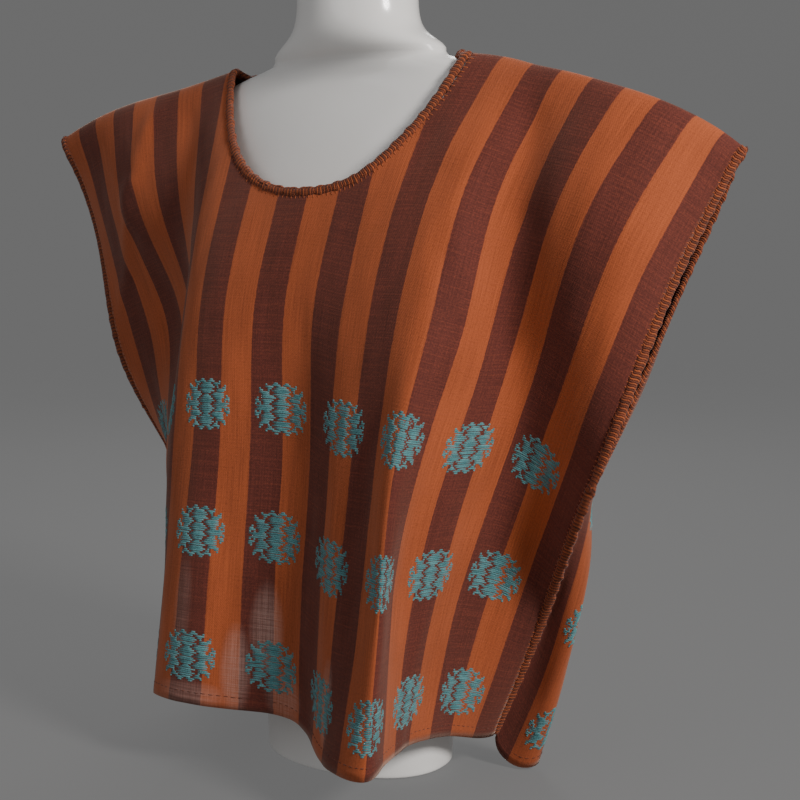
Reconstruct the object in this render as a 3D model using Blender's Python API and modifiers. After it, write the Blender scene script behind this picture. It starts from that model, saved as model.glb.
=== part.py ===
"""A hand-woven striped blouse, worn by a limbless dress form.

The blouse is one length of cloth with a hole cut for the neck, folded over the shoulders and closed
down both sides below the armholes. A place on the cloth is given by two numbers: the stripe edge that
it lies on, counted from the wearer's right, and the distance down the warp from the shoulder fold.
Each row of a cloth table follows one stripe edge over the body. It names where the edge lies, seen from
above, at six stations down the warp; its height follows from the length of the cloth.

The form stands on the floor at z = 0. The wearer faces -Y, with the wearer's left hand towards +X.
"""
import bpy
import numpy as np

CM = 0.01

# The cloth as it is woven and cut
STRIPE_WIDTH = 0.026
STRIPE_COUNT = 24
CLOTH_WIDTH = STRIPE_WIDTH * STRIPE_COUNT
PANEL_LENGTH = 0.51
WALL = 0.0015
SEAM_GAP = 0.0003

# The neck hole: a rounded scoop, a little to the wearer's right of the middle of the cloth
NECK_SHIFT = -0.0065
NECK_HALF_WIDTH = 0.090
NECK_DEPTH_FRONT = 0.118
NECK_DEPTH_BACK = 0.055
NECK_POWER_FRONT = 2.1
NECK_POWER_BACK = 2.6

# How the blouse hangs
NECK_HEIGHT = 0.545
ARMHOLE_DEPTH = 0.26
SHOULDER_TURN = 0.012

# Trimmings: the walls stop short of their own edges, where the edging cord lies
EDGING_RADIUS = 0.0020
SEAM_RADIUS = 0.0015
CORD_SIDES = 8
EDGE_TRIM = 0.0028
EDGING_GAP = 0.0005
NECK_GAP = 0.0012
SEAM_STAND_OFF = 0.0031
CORD_SHORT = 0.004
HEM_WIDTH = 0.010
HEM_WALL = 0.0010
HEM_GAP = 0.0006
HEM_SHORT = 0.35

# Mesh steps
COLUMNS_SHOULDER = 9
COLUMNS_NECK = 16
ROWS_DOWN = 18
ROW_SPREAD = 1.5
FORM_SIDES = 36
FORM_BACK_SHIFT = 0.0012
FORM_SKEW = -0.05

# The shoulder fold: stripe edge, then x, y and height over the neck points, in centimetres
SHOULDER = [
    (0.0, -32.6, 2.0, -4.4),
    (2.0, -27.7, 1.0, -2.9),
    (4.0, -22.6, 0.4, -1.8),
    (6.0, -17.5, 0.2, -1.0),
    (8.0, -12.4, 0.0, 0.0),
    (9.3, -8.8, -1.0, 0.4),
    (11.0, -4.2, -2.2, 0.8),
    (13.0, 1.6, -2.6, 0.8),
    (14.5, 7.6, -2.0, 0.2),
    (16.0, 13.4, -1.4, -0.5),
    (17.0, 15.9, -1.7, -1.2),
    (18.0, 18.3, -2.0, -1.8),
    (19.5, 22.0, -2.4, -2.9),
    (21.0, 25.7, -2.4, -4.2),
    (22.5, 28.9, -1.4, -5.9),
    (24.0, 30.6, 0.4, -7.4),
]

# Stations down the warp, in centimetres
STATIONS = (0.0, 10.0, 20.0, 30.0, 40.0, 51.0)

# The front: stripe edge, ease along the warp, then x, y in centimetres at each station below the fold
FRONT = [
    (0.0, 0.990, (-29.5, 2.8), (-27.0, 2.3), (-24.2, 5.4), (-20.6, 7.2), (-19.2, 8.4)),
    (2.0, 0.985, (-25.2, 0.2), (-22.0, 0.9), (-20.8, 1.6), (-18.3, 2.6), (-17.4, 3.6)),
    (4.0, 0.985, (-20.6, -1.8), (-17.2, -0.7), (-17.4, -2.4), (-15.9, -1.9), (-15.4, -1.2)),
    (6.0, 0.990, (-15.6, -2.7), (-13.4, -4.0), (-14.2, -6.2), (-13.4, -6.3), (-13.6, -6.2)),
    (8.0, 1.000, (-11.1, -4.7), (-10.7, -7.8), (-10.6, -9.6), (-10.9, -10.6), (-11.9, -11.1)),
    (9.3, 1.000, (-7.9, -5.2), (-7.8, -8.9), (-7.6, -10.2), (-7.8, -11.6), (-8.5, -12.5)),
    (11.0, 1.000, (-2.9, -5.8), (-3.4, -8.8), (-3.5, -9.4), (-3.5, -10.6), (-3.5, -11.4)),
    (13.0, 1.005, (2.7, -6.1), (1.8, -8.6), (1.7, -9.2), (1.6, -10.1), (1.6, -10.6)),
    (14.5, 1.025, (6.7, -6.3), (5.8, -9.3), (5.3, -10.7), (5.0, -11.9), (4.6, -12.8)),
    (16.0, 1.035, (10.7, -6.4), (9.6, -9.8), (9.0, -11.7), (8.6, -13.3), (7.9, -15.1)),
    (17.0, 1.020, (13.1, -6.4), (12.2, -9.9), (11.2, -12.9), (10.9, -14.4), (10.5, -15.7)),
    (18.0, 0.995, (14.9, -5.2), (13.6, -7.9), (11.8, -10.6), (10.4, -11.9), (10.3, -13.2)),
    (19.5, 0.985, (18.4, -5.6), (15.2, -4.9), (13.0, -7.1), (10.7, -8.3), (9.5, -9.4)),
    (21.0, 0.985, (21.8, -6.0), (18.0, -4.2), (14.5, -3.7), (11.7, -4.8), (9.7, -5.6)),
    (22.5, 0.985, (25.1, -5.0), (21.3, -4.9), (17.2, -2.4), (13.5, -1.4), (10.3, -1.8)),
    (24.0, 0.990, (27.0, -2.4), (24.2, -4.8), (20.2, -3.4), (15.9, 0.6), (11.4, 1.9)),
]

# The back is settled from a rough start: a coarse net of half stripes, drawn down a little at each
# round, kept to its lengths, clear of the form and behind the front
NET_COLUMNS = STRIPE_COUNT * 2 + 1
NET_ROWS = 42
SETTLE_ROUNDS = 420
SETTLE_PASSES = 14
SETTLE_DROP = 0.0004
CLOTH_STIFFNESS = 0.035
CLEAR_OF_FORM = 0.0038
CLEAR_OF_FRONT = 0.006
ARMHOLE_ROOM = 0.020
# Below the left armhole the back stays on the body's side of the seam: the level direction that points
# away from the body there, the share of any overshoot that each round takes back, and the room left
# to it, at the armhole's foot and from there down to the hem
SEAM_OUT = (0.857, 0.515)
SEAM_PULL = 0.10
SEAM_ROOM = (0.002, 0.052)
BACK_BOW = (2.2, 4.8, 7.2, 9.2, 10.5)
BACK_FOLDS = 3.5
BACK_FOLD_DEPTH = 0.06

# The dress form, from floor to cap: height over the neck points, half width, front depth, back depth,
# all in centimetres, and the power of its rounded outline
FORM = [
    (-54.5, 8.0, 6.0, 5.8, 2.2),
    (-46.0, 8.4, 6.4, 6.0, 2.2),
    (-38.0, 9.2, 6.9, 6.3, 2.2),
    (-30.0, 10.6, 7.7, 6.8, 2.2),
    (-22.0, 12.6, 8.2, 7.2, 2.3),
    (-16.0, 13.8, 7.4, 7.2, 2.4),
    (-10.0, 14.6, 5.2, 6.2, 2.3),
    (-6.0, 15.1, 3.9, 4.8, 2.1),
    (-3.5, 14.8, 3.1, 3.6, 2.0),
    (-1.9, 13.8, 2.6, 2.9, 2.0),
    (-1.1, 12.4, 2.5, 2.6, 2.0),
    (-0.5, 10.5, 2.6, 2.4, 2.0),
    (-0.1, 8.7, 2.7, 2.5, 2.0),
    (0.7, 7.8, 3.4, 3.5, 2.0),
    (2.0, 6.1, 4.2, 4.1, 2.0),
    (3.6, 5.1, 4.4, 4.2, 2.0),
    (7.0, 4.9, 4.6, 4.4, 2.0),
    (10.0, 4.9, 4.6, 4.6, 2.0),
]
FORM_CAP = 0.012

COLOURS = {
    "cloth": (0.42, 0.12, 0.045, 1.0),
    "edging": (0.25, 0.07, 0.03, 1.0),
    "form": (0.82, 0.80, 0.77, 1.0),
}


def curve(knots, values, at):
    """Smooth line through the knots: a natural cubic spline whose bends are solved for together."""
    knots = np.asarray(knots, float)
    values = np.asarray(values, float)
    count = len(knots)
    flat = values.reshape(count, -1)
    step = np.diff(knots)
    slope = np.diff(flat, axis=0) / step[:, None]
    inner = np.arange(1, count - 1)
    system = np.eye(count)
    system[inner, inner - 1] = step[:-1]
    system[inner, inner] = 2 * (step[:-1] + step[1:])
    system[inner, inner + 1] = step[1:]
    right = np.zeros_like(flat)
    right[1:-1] = 6 * np.diff(slope, axis=0)
    bend = np.linalg.solve(system, right)
    at = np.atleast_1d(np.asarray(at, float))
    low = np.clip(np.searchsorted(knots, at, side="right") - 1, 0, count - 2)
    size = step[low][:, None]
    a = (knots[low + 1] - at)[:, None] / size
    b = 1 - a
    line = a * flat[low] + b * flat[low + 1]
    line += ((a ** 3 - a) * bend[low] + (b ** 3 - b) * bend[low + 1]) * size ** 2 / 6
    return line.reshape((len(at),) + values.shape[1:])


def unit(vectors):
    return vectors / np.linalg.norm(vectors, axis=-1, keepdims=True)


# Fine steps at which the hanging cloth is worked out
STRIPES = np.linspace(0.0, STRIPE_COUNT, STRIPE_COUNT * 8 + 1)
DOWN = np.linspace(0.0, PANEL_LENGTH, 205)


def hang(shoulder, plan, ease, side):
    """Hang one panel from the shoulder fold: side is -1 for the front and +1 for the back.

    plan holds x, y for each fine stripe place and station. A line down the warp runs through them in
    plan and leaves the fold level; what is left of its length is how far it falls.
    """
    step = DOWN[1]
    xy = curve(np.array(STATIONS) * CM, plan.transpose(1, 0, 2), DOWN).transpose(1, 0, 2)
    start = (xy[:, 1] - xy[:, 0]) / step
    level = np.sqrt(1 - start[:, 0] ** 2) - side * start[:, 1]
    xy[..., 1] += side * level[:, None] * DOWN * np.exp(-DOWN / SHOULDER_TURN)
    run = np.sum(np.diff(xy, axis=1) ** 2, axis=-1)
    length = (ease * step)[:, None]
    fall = np.sqrt(np.clip(length ** 2 - run, 0, None))
    drop = np.concatenate([np.zeros((len(xy), 1)), np.cumsum(fall, axis=1)], axis=1)
    height = NECK_HEIGHT + shoulder[:, 2:3] - drop
    return np.concatenate([xy, height[..., None]], axis=-1)


def hang_front(shoulder):
    rows = np.array([row[0] for row in FRONT])
    plan = curve(rows, np.array([row[2:] for row in FRONT]) * CM, STRIPES)
    plan = np.concatenate([shoulder[:, None, :2], plan], axis=1)
    ease = curve(rows, [row[1] for row in FRONT], STRIPES)
    return hang(shoulder, plan, ease, -1)


def row_across(left, right, bow, shares):
    """One level row of the back: bowed, with folds just deep enough to use up the cloth's width."""
    t = np.linspace(0.0, 1.0, 401)
    across = right - left
    behind = unit(np.array([-across[1], across[0]]))
    arch = bow * np.sin(np.pi * t) ** 0.85
    folds = np.sin(2 * np.pi * BACK_FOLDS * t) * np.sin(np.pi * t) ** 0.5

    def run(depth):
        line = left + t[:, None] * across + (arch + depth * folds)[:, None] * behind
        return line, np.concatenate([[0.0], np.cumsum(np.linalg.norm(np.diff(line, axis=0), axis=1))])

    shallow, deep = 0.0, BACK_FOLD_DEPTH
    for _ in range(24):
        middle = (shallow + deep) / 2
        if run(middle)[1][-1] < CLOTH_WIDTH:
            shallow = middle
        else:
            deep = middle
    line, along = run(shallow)
    return np.stack([np.interp(shares * along[-1], along, line[:, axis]) for axis in range(2)], axis=-1)


def rough_back(shoulder, front):
    """First guess of the back: hung from the fold, bowed backwards, with soft folds started."""
    rows = np.linspace(0.0, PANEL_LENGTH, NET_ROWS)
    columns = np.linspace(0.0, 1.0, NET_COLUMNS)
    top = np.stack([np.interp(columns * STRIPE_COUNT, STRIPES, shoulder[:, axis]) for axis in range(3)],
                   axis=-1)
    top[:, 2] += NECK_HEIGHT
    net = np.empty((NET_COLUMNS, NET_ROWS, 3))
    edges = []
    for column in (0, -1):
        edge = np.stack([np.interp(rows, DOWN, front[column, :, axis]) for axis in range(3)], axis=-1)
        edge[:, 1] += ARMHOLE_ROOM * np.sin(np.pi * np.clip(rows / ARMHOLE_DEPTH, 0, 1))
        edges.append(edge)
    bow = np.interp(rows, np.array(STATIONS) * CM, (0,) + BACK_BOW) * CM
    for row in range(NET_ROWS):
        left, right = edges[0][row], edges[1][row]
        plan = row_across(left[:2], right[:2], bow[row], columns)
        blend = np.clip(rows[row] / 0.14, 0, 1)
        blend = blend * blend * (3 - 2 * blend)
        net[:, row, :2] = top[:, :2] + blend * (plan - top[:, :2])
        net[:, row, 1] += (1 - blend) * min(rows[row], 0.01)
        level = left[2] + columns * (right[2] - left[2])
        net[:, row, 2] = (top[:, 2] - rows[row]) * 0.5 + 0.5 * np.minimum(level, top[:, 2] - rows[row])
    net[0], net[-1] = edges
    net[:, 0] = top
    return net, rows


def keep_length(a, b, rest, hold_a, hold_b, give=1.0):
    """Draw pairs of points to their resting distance; held points stay."""
    gap = b - a
    size = np.linalg.norm(gap, axis=-1, keepdims=True)
    free_a, free_b = (1.0 - hold_a)[..., None], (1.0 - hold_b)[..., None]
    share = free_a + free_b
    push = give * (size - rest) / np.maximum(size, 1e-9) * gap / np.maximum(share, 1.0)
    return a + push * free_a, b - push * free_b


def off_the_form(points, sizes):
    """Move points that are inside the dress form, or too near it, straight out of it."""
    heights = sizes[:, 0]

    def inside(p):
        across, front, back, power = (np.interp(p[..., 2], heights, sizes[:, k]) for k in range(1, 5))
        behind = p[..., 1] - FORM_BACK_SHIFT - FORM_SKEW * p[..., 0]
        x = np.abs(p[..., 0]) / across
        y = np.abs(behind) / np.where(behind < 0, front, back)
        return (x ** power + y ** power) ** (1 / power)

    small = 1e-4
    value = inside(points)
    slope = np.stack([(inside(points + small * axis) - value) / small for axis in np.eye(3)], axis=-1)
    size = np.maximum(np.linalg.norm(slope, axis=-1), 1e-6)
    away = (value - 1) / size
    short = np.clip(CLEAR_OF_FORM - away, 0, 0.004)
    return points + (short / size)[..., None] * slope


def behind_front(front, rows):
    """For each row of the net, the furthest back that the front reaches along x."""
    x = np.linspace(-0.36, 0.36, 145)
    reach = np.full((len(rows), len(x)), -1.0)
    for index, row in enumerate(rows):
        near = front[:, np.abs(DOWN - row) < 0.02].reshape(-1, 3)
        for k, value in enumerate(x):
            hit = np.abs(near[:, 0] - value) < 0.008
            if hit.any():
                reach[index, k] = near[hit, 1].max()
    return x, reach


def back_hole(across):
    """How far down the warp the neck hole reaches at the back."""
    return NECK_DEPTH_BACK * np.clip(1 - np.abs(across / NECK_HALF_WIDTH) ** NECK_POWER_BACK, 0, 1) ** (
        1 / NECK_POWER_BACK)


def hang_back(shoulder, front, sizes):
    """Settle the back between its shoulder fold and the two side seams."""
    net, rows = rough_back(shoulder, front)
    weft = CLOTH_WIDTH / (NET_COLUMNS - 1)
    warp = rows[1]
    slant = np.hypot(weft, warp)
    held = np.zeros(net.shape[:2])
    held[:, 0] = 1
    held[[0, -1]] = 1
    x_steps, reach = behind_front(front, rows)
    across = (np.arange(NET_COLUMNS) / 2 - STRIPE_COUNT / 2) * STRIPE_WIDTH - NECK_SHIFT
    solid = (rows[None, :] >= back_hole(across)[:, None] - warp).astype(float)
    ramp = np.minimum(np.arange(NET_COLUMNS), np.arange(NET_COLUMNS)[::-1])[:, None] / 3
    margin = CLEAR_OF_FRONT * np.clip(np.minimum(ramp, rows[None, :] / 0.03), 0, 1)
    lowest = np.arange(NET_ROWS)
    for turn in range(SETTLE_ROUNDS):
        calm = 1.0 if turn < SETTLE_ROUNDS * 0.8 else 0.15
        net[..., 2] -= SETTLE_DROP * calm * (1 - held)
        for _ in range(SETTLE_PASSES):
            for start in (0, 1):
                a, b = keep_length(net[start:-1:2], net[start + 1::2], weft,
                                   held[start:-1:2], held[start + 1::2])
                net[start:-1:2], net[start + 1::2] = a, b
            for start in (0, 1):
                a, b = keep_length(net[:, start:-1:2], net[:, start + 1::2], warp,
                                   held[:, start:-1:2], held[:, start + 1::2])
                net[:, start:-1:2], net[:, start + 1::2] = a, b
        for first, second in ((np.s_[:-1, :-1], np.s_[1:, 1:]), (np.s_[:-1, 1:], np.s_[1:, :-1])):
            a, b = keep_length(net[first], net[second], slant, held[first], held[second], 0.04)
            net[first] = a
            net[second] = b
        soft = np.zeros_like(net)
        soft[1:-1] += (net[:-2] + net[2:]) / 2 - net[1:-1]
        soft[:, 1:-1] += (net[:, :-2] + net[:, 2:]) / 2 - net[:, 1:-1]
        net += CLOTH_STIFFNESS * 8 * soft * (1 - held)[..., None]
        out = off_the_form(net, sizes)
        net += (out - net) * ((1 - held) * solid)[..., None]
        room = np.interp(rows, (0.27, 0.39), SEAM_ROOM)
        beyond = (net[..., :2] - net[-1:, :, :2]) @ np.array(SEAM_OUT) - room
        pull = SEAM_PULL * np.clip((rows - 0.20) / 0.08, 0, 1) * (1 - held) * np.clip(beyond, 0, 0.02)
        net[..., :2] -= pull[..., None] * np.array(SEAM_OUT)
        step = (net[..., 0] - x_steps[0]) / (x_steps[1] - x_steps[0])
        low = np.clip(step.astype(int), 0, len(x_steps) - 2)
        wall = np.maximum(reach[lowest, low], reach[lowest, low + 1]) + margin
        net[..., 1] += (np.maximum(net[..., 1], wall) - net[..., 1]) * (1 - held)
    columns = np.linspace(0.0, STRIPE_COUNT, NET_COLUMNS)
    fine = curve(columns, net, STRIPES).transpose(1, 0, 2)
    # the front's first rows are joined on, so that the fold is crossed smoothly
    over = [np.stack([np.interp(row, DOWN, values) for values in
                      front.transpose(0, 2, 1).reshape(-1, len(DOWN))]).reshape(-1, 3)
            for row in rows[2:0:-1]]
    back = curve(np.concatenate([-rows[2:0:-1], rows]), np.concatenate([over, fine]),
                 DOWN).transpose(1, 0, 2)
    across = (STRIPES - STRIPE_COUNT / 2) * STRIPE_WIDTH - NECK_SHIFT
    cloth_there = (DOWN[None, :] > 0) & (DOWN[None, :] >= back_hole(across)[:, None] - 0.004)
    for _ in range(6):
        back = np.where(cloth_there[..., None], off_the_form(back, sizes), back)
    return back


def place(sheet, stripe, down):
    """Read a sheet between its fine steps, at any arrays of stripe place and distance down the warp."""
    i = np.clip(np.asarray(stripe, float) / STRIPES[1], 0, len(STRIPES) - 1.001)
    j = np.clip(np.asarray(down, float) / DOWN[1], 0, len(DOWN) - 1.001)
    i0 = i.astype(int)
    j0 = j.astype(int)
    a = (i - i0)[..., None]
    b = (j - j0)[..., None]
    near = sheet[i0, j0] * (1 - a) + sheet[i0 + 1, j0] * a
    far = sheet[i0, j0 + 1] * (1 - a) + sheet[i0 + 1, j0 + 1] * a
    return near * (1 - b) + far * b


def neckline(half_width, depth, power, count):
    """Stripe places and distances down the warp along the neck hole, from right to left shoulder."""
    turn = np.linspace(0.0, np.pi, 721)
    x = -np.sign(np.cos(turn)) * np.abs(np.cos(turn)) ** (2 / power) * half_width
    down = np.abs(np.sin(turn)) ** (2 / power) * depth
    along = np.concatenate([[0.0], np.cumsum(np.hypot(np.diff(x), np.diff(down)))])
    even = np.linspace(0.0, along[-1], count + 1)
    x = np.interp(even, along, x) + NECK_SHIFT
    return x / STRIPE_WIDTH + STRIPE_COUNT / 2, np.interp(even, along, down)


def neck_of(side, grow):
    depth, power = ((NECK_DEPTH_FRONT, NECK_POWER_FRONT) if side < 0
                    else (NECK_DEPTH_BACK, NECK_POWER_BACK))
    return neckline(NECK_HALF_WIDTH + grow, depth + grow, power, COLUMNS_NECK)


def panel_grid(side):
    """Stripe place and distance down the warp of each corner of a panel's mesh.

    Columns run from the shoulder fold or the neck hole down to the hem, the last row.
    """
    trim = EDGE_TRIM / STRIPE_WIDTH
    stripe, down = neck_of(side, EDGE_TRIM)
    top_stripe = np.concatenate([np.linspace(trim, stripe[0], COLUMNS_SHOULDER + 1)[:-1], stripe,
                                 np.linspace(stripe[-1], STRIPE_COUNT - trim, COLUMNS_SHOULDER + 1)[1:]])
    fold = np.zeros(COLUMNS_SHOULDER)
    top_down = np.concatenate([fold, down, fold])
    bottom_stripe = np.linspace(trim, STRIPE_COUNT - trim, len(top_stripe))
    share = np.linspace(0.0, 1.0, ROWS_DOWN) ** ROW_SPREAD
    share = np.append(share, 1.0)
    reach = np.where(np.arange(len(share)) == len(share) - 1, PANEL_LENGTH, PANEL_LENGTH - HEM_WIDTH)
    grid_down = top_down[:, None] + share * (reach - top_down[:, None])
    grid_stripe = top_stripe[:, None] + grid_down / PANEL_LENGTH * (bottom_stripe - top_stripe)[:, None]
    return grid_stripe, grid_down


def grid_faces(index, side):
    """Quads of a grid of point numbers, facing out of the front or the back."""
    faces = np.stack([index[:-1, :-1], index[:-1, 1:], index[1:, 1:], index[1:, :-1]], axis=-1)
    if side > 0:
        faces = faces[..., ::-1]
    return faces.reshape(-1, 4)


def wall_object(name, points, faces, material, thickness):
    """An open surface made a wall of even thickness."""
    mesh = bpy.data.meshes.new(name)
    mesh.from_pydata(points.tolist(), [], faces.tolist())
    mesh.materials.append(material)
    mesh.shade_smooth()
    thing = bpy.data.objects.new(name, mesh)
    collection.objects.link(thing)
    wall = thing.modifiers.new("wall", "SOLIDIFY")
    wall.thickness = thickness
    wall.offset = 0.0
    return thing


def cord_object(name, path, material, radius=EDGING_RADIUS, closed=False):
    """A crocheted edging as a round cord along a path, its ends closed."""
    before, after = np.roll(path, 1, axis=0), np.roll(path, -1, axis=0)
    if not closed:
        before[0], after[-1] = path[0], path[-1]
    along = unit(after - before)
    aside = [unit(np.cross(along[0], (0.3, 0.5, 0.8)))]
    for direction in along[1:]:
        aside.append(unit(aside[-1] - (aside[-1] @ direction) * direction))
    turn = np.linspace(0.0, 2 * np.pi, CORD_SIDES, endpoint=False)[None, :, None]
    aside = np.array(aside)[:, None]
    points = path[:, None] + radius * (np.cos(turn) * aside + np.sin(turn) * np.cross(
        along[:, None], aside))
    rings = len(path)
    index = np.arange(rings * CORD_SIDES).reshape(rings, CORD_SIDES)
    ring = np.vstack([index, index[:1]]) if closed else index
    if closed:
        # the last ring is joined to the first at the turn that twists it least
        gaps = [np.linalg.norm(points[-1] - np.roll(points[0], -k, axis=0)) for k in range(CORD_SIDES)]
        ring[-1] = np.roll(ring[-1], -int(np.argmin(gaps)))
    beyond = np.roll(ring, -1, axis=1)
    faces = np.stack([ring[:-1], beyond[:-1], beyond[1:], ring[1:]], axis=-1).reshape(-1, 4).tolist()
    if not closed:
        faces += [index[0, ::-1].tolist(), index[-1].tolist()]
    mesh = bpy.data.meshes.new(name)
    mesh.from_pydata(points.reshape(-1, 3).tolist(), [], faces)
    mesh.materials.append(material)
    mesh.shade_smooth()
    thing = bpy.data.objects.new(name, mesh)
    collection.objects.link(thing)
    return thing


def make_material(name, colour, roughness):
    material = bpy.data.materials.new(name)
    material.use_nodes = True
    shader = material.node_tree.nodes["Principled BSDF"]
    shader.inputs["Base Color"].default_value = colour
    shader.inputs["Roughness"].default_value = roughness
    shader.inputs["Metallic"].default_value = 0.0
    return material


def make_cloth(points, material):
    """The one length of cloth: front and back joined along the shoulder fold, open at the neck."""
    columns, rows = points[0].shape[:2]
    front = np.arange(columns * rows).reshape(columns, rows)
    back = np.zeros((columns, rows), int)
    shared = np.r_[0:COLUMNS_SHOULDER + 1, columns - COLUMNS_SHOULDER - 1:columns]
    own = np.ones((columns, rows), bool)
    own[shared, 0] = False
    back[own] = front.size + np.arange(own.sum())
    back[shared, 0] = front[shared, 0]
    thing = wall_object("cloth", np.concatenate([points[0].reshape(-1, 3), points[1][own]]),
                        np.concatenate([grid_faces(front, -1), grid_faces(back, 1)]), material, WALL)
    normals = np.array([vertex.normal for vertex in thing.data.vertices])
    return normals[front], normals[back]


def make_hem(name, panel, side, material):
    """The hem's turned edge lies on the inside of the panel's last row, moved in from its own points."""
    rows = panel[:, -2:].copy()
    for end, inner in ((0, 1), (-1, -2)):
        rows[end] += HEM_SHORT * (rows[inner] - rows[end])
    facing = unit(np.cross(np.diff(rows[:, 0], axis=0), (rows[:, 1] - rows[:, 0])[:-1]) * side)
    before, after = np.vstack([facing[:1], facing]), np.vstack([facing, facing[-1:]])
    out = unit(before + after)
    # a parallel wall stands further off where the cloth turns
    out /= np.sum(out * before, axis=-1, keepdims=True)
    points = rows - (WALL / 2 + HEM_GAP + HEM_WALL / 2) * out[:, None]
    index = np.arange(len(rows) * 2).reshape(len(rows), 2)
    return wall_object(name, points.reshape(-1, 3), grid_faces(index, side), material, HEM_WALL)


def beside(edge, inner, normals, gap=EDGING_GAP):
    """Points just outside an edge of the cloth, in its own surface, where a cord of edging lies."""
    steps = unit(np.diff(edge, axis=0))
    before, after = np.vstack([steps[:1], steps]), np.vstack([steps, steps[-1:]])
    along = unit(before + after)
    out = unit(np.cross(along, normals))
    out *= np.sign(np.sum(out * (edge - inner), axis=-1, keepdims=True))
    return edge + (EDGING_RADIUS + gap) / np.sum(along * before, axis=-1, keepdims=True) * out


def make_neck_edging(points, normals, material):
    """One cord right round the neck hole."""
    neck = np.arange(COLUMNS_SHOULDER, COLUMNS_SHOULDER + COLUMNS_NECK + 1)
    cloth_side = []
    for side, panel, facing in zip((-1, 1), points, normals):
        stripe, down = neck_of(side, EDGE_TRIM)
        warp = unit(panel[neck, 1] - panel[neck, 0])
        weft = -side * np.cross(facing[neck, 0], warp)
        from_middle = (stripe - STRIPE_COUNT / 2) * STRIPE_WIDTH - NECK_SHIFT
        cloth_side.append(panel[neck, 0] + from_middle[:, None] * weft + down[:, None] * warp)
    edge, within, facing = (np.concatenate([front, back[-2:0:-1]]) for front, back in (
        [panel[neck, 0] for panel in points], cloth_side, [panel[neck, 0] for panel in normals]))
    turns = len(edge)
    path = beside(*(np.tile(values, (3, 1)) for values in (edge, within, facing)), NECK_GAP)
    return cord_object("neck_edging", path[turns:2 * turns], material, closed=True)


def make_side_edgings(label, points, normals, column, material):
    """Edging along one side: a cord round the armhole and over the shoulder, then one down the seam."""
    inner = 1 if column == 0 else -2
    edge, within, facing = (np.concatenate([values[0][place_in][::-1], values[1][place_in][1:]])
                            for values, place_in in ((points, column), (points, inner), (normals, column)))
    path = beside(edge, within, facing)
    rows = points[0].shape[1]
    front, back = path[:rows][::-1], path[rows - 1:]
    down = panel_grid(-1)[1][0]
    fine = np.linspace(0.0, PANEL_LENGTH, 1021)
    fine_front, fine_back = (np.stack([np.interp(fine, down, line[:, axis]) for axis in range(3)], axis=-1)
                             for line in (front, back))
    apart = np.linalg.norm(fine_front - fine_back, axis=1) > 2 * EDGING_RADIUS + SEAM_GAP
    last = np.nonzero(apart)[0][-1]
    stop = fine[last]
    above = down < stop - CORD_SHORT
    cord_object(f"armhole_edging_{label}",
                np.vstack([fine_front[last], front[above][::-1], back[above][1:], fine_back[last]]),
                material)
    # the cord lies outside both edges, as far from each as the edging stands off
    edges = [np.stack([np.interp(fine, down, side[column][:, axis]) for axis in range(3)], axis=-1)
             for side in points]
    base = (edges[0] + edges[1]) / 2
    out = unit((fine_front - edges[0]) + (fine_back - edges[1]))
    half = edges[0] - base
    lean = np.abs(np.sum(half * out, axis=-1))
    # where the cord lies over the face of a wall, and not at its rim, it stands off its thickness too
    over = 1 - np.minimum(np.sum(out * unit(fine_front - edges[0]), axis=-1), 1.0) ** 2
    room = (SEAM_STAND_OFF + WALL * np.sqrt(over)) ** 2 - np.sum(half ** 2, axis=-1) + lean ** 2
    middle = base + (lean + np.sqrt(np.maximum(room, 0.0)))[:, None] * out
    start = last + int(np.ceil((2 * EDGING_RADIUS + SEAM_GAP) / fine[1]))
    seam = [np.array([np.interp(v, fine, middle[:, axis]) for axis in range(3)])
            for v in np.append(fine[start], down[down > fine[start] + CORD_SHORT])]
    cord_object(f"side_seam_{label}", np.array(seam), material, SEAM_RADIUS)


def form_sizes():
    """Level outlines of the form from the floor up: height, half width, front, back and power."""
    table = np.array(FORM)
    heights = np.concatenate([np.linspace(table[0, 0], -5.0, 17), np.linspace(-3.9, 3.0, 13),
                              [4.5, 7.0, table[-1, 0]]])
    rows = curve(table[:, 0], table[:, 1:], heights)
    return np.column_stack([heights * CM + NECK_HEIGHT, rows[:, :3] * CM, rows[:, 3]])


def make_form(sizes, material):
    """The dress form: rounded level outlines, joined from the floor to a domed cap on the neck."""
    cap = np.radians([25.0, 50.0, 70.0])
    dome = np.column_stack([sizes[-1, 0] + FORM_CAP * np.sin(cap), sizes[-1, 1:4] * np.cos(cap)[:, None],
                            np.full(len(cap), sizes[-1, 4])])
    heights, wide, front, back, power = (value[:, None] for value in np.vstack([sizes, dome]).T)
    turn = np.linspace(0.0, 2 * np.pi, FORM_SIDES, endpoint=False)
    cosine, sine = np.cos(turn), np.sin(turn)
    x = wide * np.sign(cosine) * np.abs(cosine) ** (2 / power)
    y = np.where(sine < 0, front, back) * np.sign(sine) * np.abs(sine) ** (2 / power)
    y += FORM_BACK_SHIFT + FORM_SKEW * x
    z = np.broadcast_to(heights, x.shape)
    points = np.stack([x, y, z], axis=-1)
    rings, sides = x.shape
    index = np.arange(rings * sides).reshape(rings, sides)
    after = np.roll(index, -1, axis=1)
    faces = np.stack([index[:-1], after[:-1], after[1:], index[1:]], axis=-1).reshape(-1, 4).tolist()
    faces += [index[0, ::-1].tolist(), index[-1].tolist()]
    mesh = bpy.data.meshes.new("dress_form")
    mesh.from_pydata(points.reshape(-1, 3).tolist(), [], faces)
    mesh.materials.append(material)
    mesh.shade_smooth()
    thing = bpy.data.objects.new("dress_form", mesh)
    collection.objects.link(thing)
    return thing


for old in list(bpy.data.objects):
    bpy.data.objects.remove(old, do_unlink=True)
collection = bpy.data.collections.new("blouse_on_dress_form")
bpy.context.scene.collection.children.link(collection)

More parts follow.
